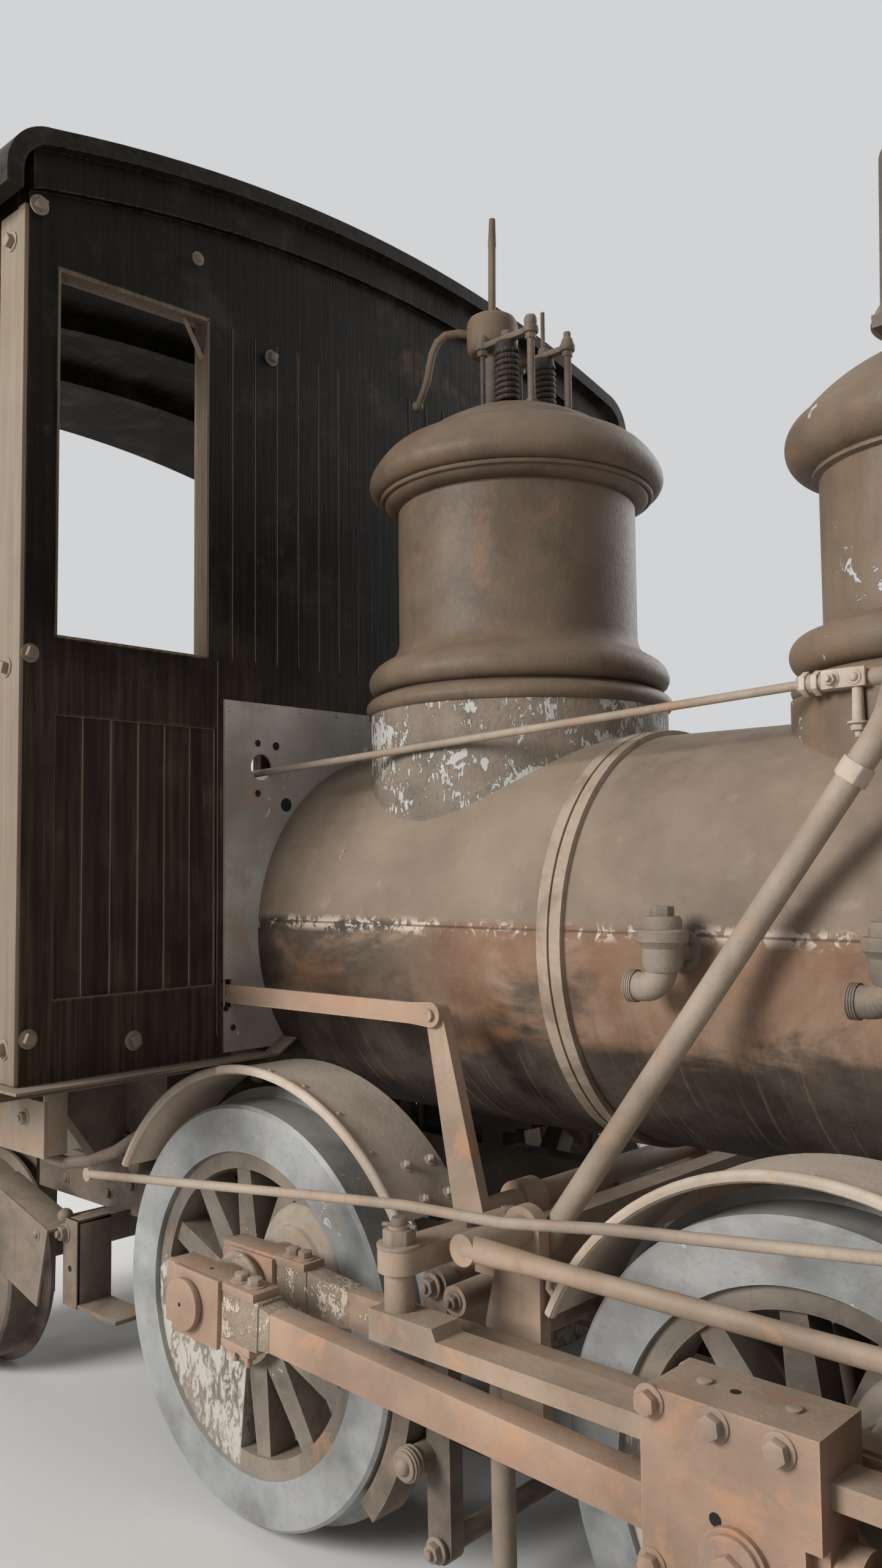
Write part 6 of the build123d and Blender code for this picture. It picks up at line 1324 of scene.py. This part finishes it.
    def inside(self) -> None:
        """Hangs a gauge, pipes and bolts on the boiler's back, seen from behind."""
        pipes, back = Piece("backhead_pipes"), self.back
        for y in (-0.2, 0.2):
            path = [(back, y, 1.66), (-1.895, y, 1.67), (-1.91, y * 1.3, 1.72), (-1.90, y * 1.6, 1.80)]
            pipes.pipe(path, 0.010)
        pipes.lathe((-1.885, 0.0, 1.79), self.gauge, BACK)
        pipes.pipe([(back, 0.0, 1.80), (-1.886, 0.0, 1.80)], 0.014)
        for y in (-0.3, 0.3):
            for z in (1.35, 1.53):
                pipes.bolt((-1.915, y, z), BACK, 0.016)
        pipes.done(VALVE)
        face = Piece("gauge_face")
        face.rod((-1.9145, 0.0, 1.79), (-1.9165, 0.0, 1.79), 0.061, sides=40)
        face.done(GAUGE)


@dataclass
class FeedValves:
    """The boiler's feed valves, two on each side, with their open elbows."""

    places: tuple[float, float] = (0.496, 0.920)
    out: float = 0.530
    neck_rise: float = 1.400
    flange: float = 0.470
    elbow_rise: float = 1.337
    bend: float = 0.040
    pipe_radius: float = 0.0270
    thread: float = 0.0045
    profile: tuple[tuple[float, float], ...] = (
        (0.0, 1.366), (0.0300, 1.366), (0.0365, 1.378), (0.0370, 1.408), (0.0430, 1.416), (0.0480, 1.421),
        (0.0480, 1.439), (0.0450, 1.442), (0.0360, 1.443), (0.0360, 1.460), (0.0320, 1.466), (0.0, 1.466),
    )

    def build(self) -> None:
        """Builds the four valves in place of the plain ones."""
        piece, mouths = Piece("feed_valves"), Piece("feed_valve_mouths")
        for side in SIDES:
            for x in self.places:
                self.valve(piece, x, side)
                self.elbow(piece, mouths, x, side)
        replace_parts(piece.done(FEED), "check_valves")
        mouths.done(HOLE_SHADE)

    def valve(self, piece: Piece, x: float, side: Side) -> None:
        """Builds one valve's body, its cap and its bolted neck.

        Args:
            piece: The piece that takes them.
            x: Where the valve stands along the boiler.
            side: Which side it is on.
        """
        at, out, rise, flange = side.at, self.out, self.neck_rise, self.flange
        piece.lathe(at(x, out, 0), self.profile, steps=48)
        piece.rod(at(x, out, 1.465), at(x, out, 1.484), 0.0225, sides=6, bevel=0.0012)
        piece.rod(at(x, 0.440, rise), at(x, out, rise), 0.0235, sides=32)
        piece.rod(at(x, 0.445, rise), at(x, flange, rise), 0.040, sides=40, bevel=0.002)
        for i in range(4):
            turn = 0.7 + math.tau * i / 4
            place = at(x + 0.0315 * math.cos(turn), flange, rise + 0.0315 * math.sin(turn))
            piece.bolt(place, side.out, 0.0060)

    def elbow(self, piece: Piece, mouths: Piece, x: float, side: Side) -> None:
        """Builds the elbow below a valve, with its threaded open end.

        Args:
            piece: The piece that takes the elbow.
            mouths: The piece that takes the painted shade inside its open end.
            x: Where the valve stands along the boiler.
            side: Which side it is on.
        """
        y, rise, bend, radius = side.sign * self.out, self.elbow_rise, self.bend, self.pipe_radius
        turns = [math.radians(10 * i) for i in range(10)]
        path = [(x - bend * (1 - math.cos(turn)), y, rise + bend * (1 - math.sin(turn))) for turn in turns]
        end = x - bend - 0.016
        piece.pipe([(x, y, rise + bend + 0.006), *path, (end, y, rise)], radius, sides=32)
        profile = [(radius + wide, self.thread * i + along) for i in range(4)
                   for wide, along in ((0.003, 0.0), (0.003, 0.0024), (0.001, 0.0034))]
        profile = [(0.0, 0.0), *profile, (0.0, profile[-1][1])]
        piece.lathe((end + 0.001, y, rise), profile, BACK)
        # Painted shade: a dark disc inside the open end.
        mouths.rod((end - 0.0150, y, rise), (end - 0.0180, y, rise), 0.0190, sides=32)


@dataclass
class BoilerDetails:
    """Rivets, plugs and unions on the boiler and the sand gear, and the headlight's glass."""

    middle: float = 1.396
    barrel: float = 0.459
    banded: float = 0.466
    smokebox_radius: float = 0.475
    chimney: tuple[float, float] = (1.48, 0.222)
    lamp_rise: float = 2.0925
    mirror_side: tuple[tuple[float, float], ...] = ((0.0, 0.0), (0.124, 0.0), (0.124, 0.0016), (0.0, 0.0010))
    glass_side: tuple[tuple[float, float], ...] = (
        (0.0, 0.0), (0.125, 0.0), (0.125, 0.0020), (0.105, 0.0066), (0.075, 0.0106), (0.040, 0.0128),
        (0.0, 0.0135),
    )
    first_rivet: float = 0.04
    sand_rise: float = 1.893

    def build(self) -> None:
        """Builds the boiler's small fittings."""
        self.bands()
        self.smokebox()
        self.lamp()
        self.sand_gear()

    def about(self, x: float, radius: float, out: Vector) -> Vector:
        """Returns the point that is a radius away from the boiler's middle line."""
        return Vector((x, 0.0, self.middle)) + out * radius

    def ring(self, piece: Piece, x: float, radius: float, count: int, size: float) -> None:
        """Sets a ring of rivets round the boiler.

        Args:
            piece: The piece that takes them.
            x: Where the ring stands.
            radius: How far out it is.
            count: How many rivets it has.
            size: Each rivet's radius.
        """
        for i in range(count):
            out = beam(self.first_rivet + math.tau * i / count)
            piece.bolt(self.about(x, radius, out), out, size, Head.ROUND)

    def bands(self) -> None:
        """Sets the clamp of the boiler band and two small plugs."""
        piece = Piece("boiler_plugs")
        for x, y, z in ((-0.470, -0.423, 1.599), (-0.473, -0.429, 1.584)):
            out = Vector((0.0, y, z - self.middle)).normalized()
            piece.bolt(self.about(x, self.banded, out), out, 0.0045, Head.SQUARE)
        for x, radius in ((-1.15, self.banded), (0.10, self.banded), (1.10, self.barrel)):
            for side in SIDES:
                out = side.at(0.0, 0.30, -0.95).normalized()
                piece.bolt(self.about(x, radius, out), out, 0.020, Head.SQUARE)
        piece.done(PLATE)

    def lamp(self) -> None:
        """Sets the mirror and the domed glass into the headlight's ring."""
        for name, x, shape, finish in (("lamp_mirror", 1.9115, self.mirror_side, MIRROR),
                                       ("lamp_glass", 1.9145, self.glass_side, GLASS)):
            piece = Piece(name)
            piece.lathe((x, 0, self.lamp_rise), shape, AHEAD, steps=64)
            piece.done(finish)

    def smokebox(self) -> None:
        """Rivets the smokebox and bolts its door."""
        piece = Piece("smokebox_rivets")
        self.ring(piece, 1.225, self.smokebox_radius, 40, 0.009)
        self.ring(piece, 1.870, self.smokebox_radius + 0.008, 36, 0.009)
        for i in range(20):
            piece.bolt(self.about(1.9, 0.425, beam(math.tau * (i + 0.5) / 20)), AHEAD, 0.011)
        middle, radius = self.chimney
        for i in range(16):
            turn = math.tau * i / 16
            y = radius * math.sin(turn)
            rise = math.sqrt(self.smokebox_radius ** 2 - y ** 2)
            if rise > 0.42:
                place = (middle + radius * math.cos(turn), y, self.middle + rise + 0.002)
                piece.bolt(place, (0, y, rise), 0.008, Head.ROUND)
        piece.done(LAMP)
        dogs = Piece("smokebox_door_dogs")
        for turn in (math.tau * (i + 0.5) / 8 for i in range(8)):
            if math.cos(turn) <= 0.85:
                dogs.bolt(self.about(1.926, 0.335, beam(turn)), AHEAD, 0.013, stub=0.008)
        dogs.bolt((1.994, 0.0, self.middle), AHEAD, 0.032, turn=0.0)
        dogs.done(CAB_BOLT, "smokebox_door")

    def sand_gear(self) -> None:
        """Builds the clevis, its pin and the unions of the sand pipes."""
        piece, rise = Piece("sand_unions"), self.sand_rise
        for x in (0.676, 0.700):
            piece.rod((x, -0.310, rise), (x + 0.012, -0.310, rise), 0.024, sides=6, bevel=0.001)
        piece.block((0.722, -0.336, 1.876), (0.806, -0.328, 1.912), 0.002)
        piece.bolt((0.742, -0.336, rise), (0, -1, 0), 0.012, stub=0.008)
        piece.bolt((0.786, -0.336, rise), (0, -1, 0), 0.010, Head.ROUND)
        piece.rod((0.786, -0.322, 1.876), (0.786, -0.322, 1.800), 0.010, 0.012, sides=14)
        piece.bolt((0.786, -0.322, 1.812), (0, 0, -1), 0.015, stub=0.012)
        for side in SIDES:
            top, foot, nozzle = (side.at(*point) for point in (
                (0.910, 0.500, 1.785), (0.245, 0.585, 0.830), (0.125, 0.560, 0.640)))
            way = (nozzle - foot).normalized()
            for share, radius in ((0.82, 0.033), (0.94, 0.030)):
                place = foot.lerp(nozzle, share)
                piece.rod(place - way * 0.012, place + way * 0.012, radius, sides=24, bevel=0.008)
            way = (foot - top).normalized()
            piece.rod(top + way * 0.075, top + way * 0.110, 0.031, sides=6, bevel=0.003)
            hook = ((0.165, 0.57, 0.705), (0.190, 0.60, 0.712), (0.205, 0.603, 0.735))
            piece.pipe([side.at(*point) for point in hook], 0.006)
        piece.done(FENDER)


@dataclass
class Running:
    """Rivets, bolts and hooks of the fenders and the brakes."""

    sheets: tuple[tuple[float, float, float, int, int], ...] = (
        (-0.575, 0.500, 0.588, 38, 146), (0.810, 0.505, 0.560, 30, 150),
    )
    wire_end: float = 152
    hook: tuple[tuple[float, float, float], ...] = (
        (0.0, 0.0, 0.0), (-0.012, 0.006, 0.016), (-0.006, 0.012, 0.036), (0.016, 0.010, 0.044),
        (0.028, 0.002, 0.034),
    )
    hanger: tuple[float, float] = (-0.11, 0.330)
    rail: tuple[float, ...] = (-2.35, -1.85, -1.62, -1.42, -1.22, -0.22, -0.02, 0.36, 0.46, 1.20, 1.95)
    boxes: tuple[float, ...] = (-0.865, -0.805, -0.495, -0.435)

    def build(self) -> None:
        """Builds the small fittings below the boiler."""
        for side in SIDES:
            self.fenders(side)
            self.brakes(side)
            self.frame_bolts(side)

    def fenders(self, side: Side) -> None:
        """Rivets the bead of each fender, and hangs a bent wire at the front one's end."""
        piece = Piece(f"fender_rivets_{side.name}")
        for x, z, radius, first, last in self.sheets:
            for angle in range(first, last, 12):
                out = rising(angle)
                piece.bolt(side.at(x, 0.600, z) + out * radius, out, 0.007, Head.ROUND)
            for angle in (first - 1, first + 7):
                out = rising(angle)
                for y in (0.455, 0.530):
                    piece.bolt(side.at(x, y, z) + out * radius, out, 0.011, Head.SQUARE, stub=0.004)
        x, z, radius = self.sheets[-1][:3]
        end = side.at(x, 0.620, z) + rising(self.wire_end) * (radius + 0.006)
        piece.pipe([end + side.at(*bent) for bent in self.hook], 0.007)
        piece.done(FENDER)

    def brakes(self, side: Side) -> None:
        """Builds the washers and nuts on the brake hangers."""
        piece, (x, z) = Piece(f"brake_nuts_{side.name}"), self.hanger
        for i in range(4):
            inner = 0.570 + 0.006 * i
            radius = 0.036 - 0.002 * (i % 2)
            piece.rod(side.at(x, inner, z), side.at(x, inner + 0.0045, z), radius, sides=30, bevel=0.001)
        piece.bolt(side.at(x, 0.594, z), side.out, 0.022, Head.ROUND)
        piece.bolt(side.at(-0.08, 0.540, 0.685), side.out, 0.020, stub=0.008)
        piece.bolt(side.at(-0.072, 0.540, 0.155), side.out, 0.020, stub=0.010)
        piece.done(FRAME_BOLT)

    def frame_bolts(self, side: Side) -> None:
        """Sets the bolts along the frame rail and beside the rear axle."""
        piece = Piece(f"frame_bolts_{side.name}")
        for x in self.rail:
            piece.bolt(side.at(x, 0.405, 0.695), side.out, 0.016, Head.SQUARE, turn=x)
        for x in self.boxes:
            piece.bolt(side.at(x, 0.405, 0.325), side.out, 0.015)
        piece.done(FRAME_BOLT)


@dataclass
class UnderCab:
    """The plates, hangers and pipe that hang under the front of the cab."""

    tilt: float = 14.0
    frame_bolts: tuple[tuple[float, float], ...] = (
        (-1.80, 0.76), (-1.70, 0.62), (-1.52, 0.76), (-1.46, 0.62), (-1.34, 0.66), (-1.18, 0.62),
        (-1.16, 0.76),
    )
    drain: tuple[tuple[float, float, float], ...] = (
        (-1.470, 0.700, 0.812), (-1.410, 0.700, 0.800), (-1.350, 0.694, 0.783), (-1.285, 0.680, 0.776),
        (-1.215, 0.650, 0.786), (-1.155, 0.610, 0.815), (-1.105, 0.560, 0.862), (-1.070, 0.520, 0.915),
    )

    def build(self) -> None:
        """Builds them on both sides."""
        for side in SIDES:
            self.bracket(side)
            self.long_plate(side)
            self.tilted_plate(side)
            self.drain_pipe(side)
            self.hanger(side)

    def bracket(self, side: Side) -> None:
        """Builds the bracket at the floor's edge."""
        piece = Piece(f"cab_bracket_{side.name}")
        piece.block(*side.span((-1.560, 0.740, 0.796), (-1.285, 0.750, 0.945)), 0.002)
        piece.block(*side.span((-1.296, 0.680, 0.800), (-1.286, 0.748, 1.052)), 0.002)
        piece.block(*side.span((-1.560, 0.690, 0.935), (-1.290, 0.748, 0.945)), 0.002)
        piece.bolt(side.at(-1.385, 0.750, 0.893), side.out, 0.017, stub=0.006)
        piece.done(FITTING)

    def long_plate(self, side: Side) -> None:
        """Builds the long plate behind the bracket."""
        piece = Piece(f"frame_plate_{side.name}")
        piece.block(*side.span((-1.860, 0.428, 0.575), (-1.100, 0.440, 0.800)), 0.002)
        piece.block(*side.span((-1.640, 0.440, 0.650), (-1.560, 0.462, 0.720)), 0.004)
        piece.block(*side.span((-1.420, 0.440, 0.735), (-1.330, 0.480, 0.770)), 0.004)
        piece.rod(side.at(-1.255, 0.440, 0.745), side.at(-1.255, 0.498, 0.745), 0.030, sides=28, bevel=0.003)
        for x, z in self.frame_bolts:
            head = Head.ROUND if x < -1.5 else Head.HEX
            piece.bolt(side.at(x, 0.440, z), side.out, 0.014, head, turn=x * 5)
        piece.done(FRAME)

    def tilted_plate(self, side: Side) -> None:
        """Builds the tilted plate with its upper edge."""
        piece = Piece(f"tilted_plate_{side.name}")
        place = Matrix.Translation((-1.610, 0.0, 0.500)) @ Matrix.Rotation(math.radians(self.tilt), 4, "Y")
        piece.block(*side.span((-0.190, 0.654, -0.112), (0.170, 0.662, 0.112)), 0.002, place)
        piece.block(*side.span((-0.190, 0.560, 0.104), (0.170, 0.660, 0.112)), 0.002, place)
        piece.bolt(place @ side.at(-0.115, 0.662, 0.070), side.out, 0.016, turn=0.5)
        piece.bolt(place @ side.at(0.120, 0.662, 0.078), side.out, 0.013, Head.ROUND)
        piece.done(FRAME)

    def drain_pipe(self, side: Side) -> None:
        """Builds the bent pipe with its nut."""
        piece = Piece(f"drain_pipe_{side.name}")
        piece.pipe([side.at(*point) for point in self.drain], 0.0165, sides=16)
        piece.rod(side.at(-1.440, 0.700, 0.806), side.at(-1.405, 0.700, 0.799), 0.024, sides=6, bevel=0.002)
        piece.done(FRAME)

    def hanger(self, side: Side) -> None:
        """Builds the hanging strap with its foot, and the eye plate beside it."""
        strap, at, span = Piece(f"spring_hanger_{side.name}"), side.at, side.span
        strap.block(*span((-1.424, 0.598, 0.356), (-1.352, 0.610, 0.592)), 0.002)
        strap.block(*span((-1.362, 0.500, 0.356), (-1.352, 0.608, 0.592)), 0.002)
        strap.block(*span((-1.424, 0.500, 0.356), (-1.165, 0.606, 0.368)), 0.002)
        strap.block(*span((-1.424, 0.432, 0.582), (-1.352, 0.608, 0.592)), 0.002)
        strap.bolt(at(-1.412, 0.610, 0.553), side.out, 0.020, stub=0.010)
        strap.ball(at(-1.430, 0.600, 0.592), 0.022)
        strap.block(*span((-1.290, 0.436, 0.430), (-1.165, 0.446, 0.600)), 0.002)
        strap.rod(at(-1.2275, 0.436, 0.430), at(-1.2275, 0.446, 0.430), 0.062, sides=40, bevel=0.002)
        strap.bolt(at(-1.2275, 0.446, 0.425), side.out, 0.012, Head.ROUND)
        strap.bolt(at(-1.250, 0.446, 0.540), side.out, 0.015, stub=0.008)
        strap.done(FRAME)
        # Painted shade: a dark disc stands for the inside of the strap's hole.
        hole = Piece(f"hanger_hole_{side.name}")
        hole.rod(at(-1.386, 0.6095, 0.460), at(-1.386, 0.6108, 0.460), 0.0085, sides=20)
        hole.done(HOLE_SHADE)


@dataclass
class Studio:
    """The floor, the lights and the camera."""

    place: tuple[float, float, float] = (1.7106, -2.4364, 1.5639)
    yaw: float = 42.68
    pitch: float = 3.78
    roll: float = -0.57
    lens: float = 27.94
    aim: tuple[float, float, float] = (0.0, 0.0, 1.3)
    lamps: tuple[tuple[str, tuple[float, float, float], float, float], ...] = (
        ("key", (-2.6, -8.5, 4.8), 3.6, 1040.0), ("fill", (7.5, -3.5, 4.0), 4.5, 105.0),
        ("back", (1.0, 8.0, 5.5), 6.0, 420.0), ("rear", (-8.0, 1.0, 5.0), 5.0, 260.0),
    )
    seen: float = 0.66
    lit: float = 0.20

    def build(self) -> None:
        """Builds the whole studio."""
        self.floor()
        self.lights()
        self.world()
        self.camera()
        bpy.context.scene.view_settings.view_transform = "Standard"

    def floor(self) -> None:
        """Lays a wide pale floor."""
        mesh = bpy.data.meshes.new("studio_floor")
        work = bmesh.new()
        bmesh.ops.create_grid(work, x_segments=1, y_segments=1, size=60.0)
        work.to_mesh(mesh)
        work.free()
        shade = Shader("studio_floor")
        pale = shade.mix(shade.noise(0.8), (0.60, 0.585, 0.565), (0.66, 0.645, 0.625))
        shade.finish(pale, 0.9, shade.noise(60.0), 0.0004, 0.0)
        mesh.materials.append(shade.material)
        stand("studio_floor", mesh)

    def lights(self) -> None:
        """Hangs soft lamps."""
        for name, place, size, power in self.lamps:
            lamp = bpy.data.lights.new(name, "AREA")
            lamp.energy, lamp.size = power, size
            holder = stand(name, lamp)
            holder.location = place
            holder.rotation_euler = (Vector(self.aim) - Vector(place)).to_track_quat("-Z", "Y").to_euler()

    def world(self) -> None:
        """Sets a pale world that is brighter where it is seen than where it lights."""
        world = bpy.data.worlds.new("studio")
        bpy.context.scene.world = world
        world.use_nodes = True
        nodes, links = world.node_tree.nodes, world.node_tree.links
        path = nodes.new("ShaderNodeLightPath")
        seen = path.outputs["Is Camera Ray"]
        for ray in ("Is Glossy Ray", "Is Transmission Ray"):
            larger = nodes.new("ShaderNodeMath")
            larger.operation = "MAXIMUM"
            links.new(seen, larger.inputs[0])
            links.new(path.outputs[ray], larger.inputs[1])
            seen = larger.outputs[0]
        shade = nodes.new("ShaderNodeMapRange")
        shade.inputs["To Min"].default_value = self.lit
        shade.inputs["To Max"].default_value = self.seen
        background = nodes["Background"]
        links.new(seen, shade.inputs["Value"])
        links.new(shade.outputs[0], background.inputs["Strength"])
        background.inputs["Color"].default_value = (0.97, 0.985, 1.0, 1.0)

    def camera(self) -> None:
        """Stands the camera where the photograph was taken from."""
        lens = bpy.data.cameras.new("camera")
        lens.lens = self.lens
        lens.sensor_fit = "VERTICAL"
        lens.sensor_height = 36.0
        lens.clip_start = 0.05
        turn = Matrix.Rotation(math.radians(self.yaw), 4, "Z")
        turn = turn @ Matrix.Rotation(math.radians(90.0 + self.pitch), 4, "X")
        turn = turn @ Matrix.Rotation(math.radians(self.roll), 4, "Z")
        holder = stand("camera", lens)
        holder.matrix_world = Matrix.Translation(self.place) @ turn
        bpy.context.scene.camera = holder


def main() -> None:
    """Builds the dressed locomotive and its studio."""
    Studio().build()
    dress_nodes()
    SteamDome().build()
    Valves().build()
    for side, crank, wrist in zip(SIDES, (36.8699, 126.8699), (0.829, 0.490)):
        Rods(side, crank).build()
        Crosshead(side, wrist).build()
        Guide(side).build()
    for part in (CabDetails(), FeedValves(), BoilerDetails(), Running(), UnderCab()):
        part.build()
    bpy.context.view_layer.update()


if __name__ == "__main__":
    main()
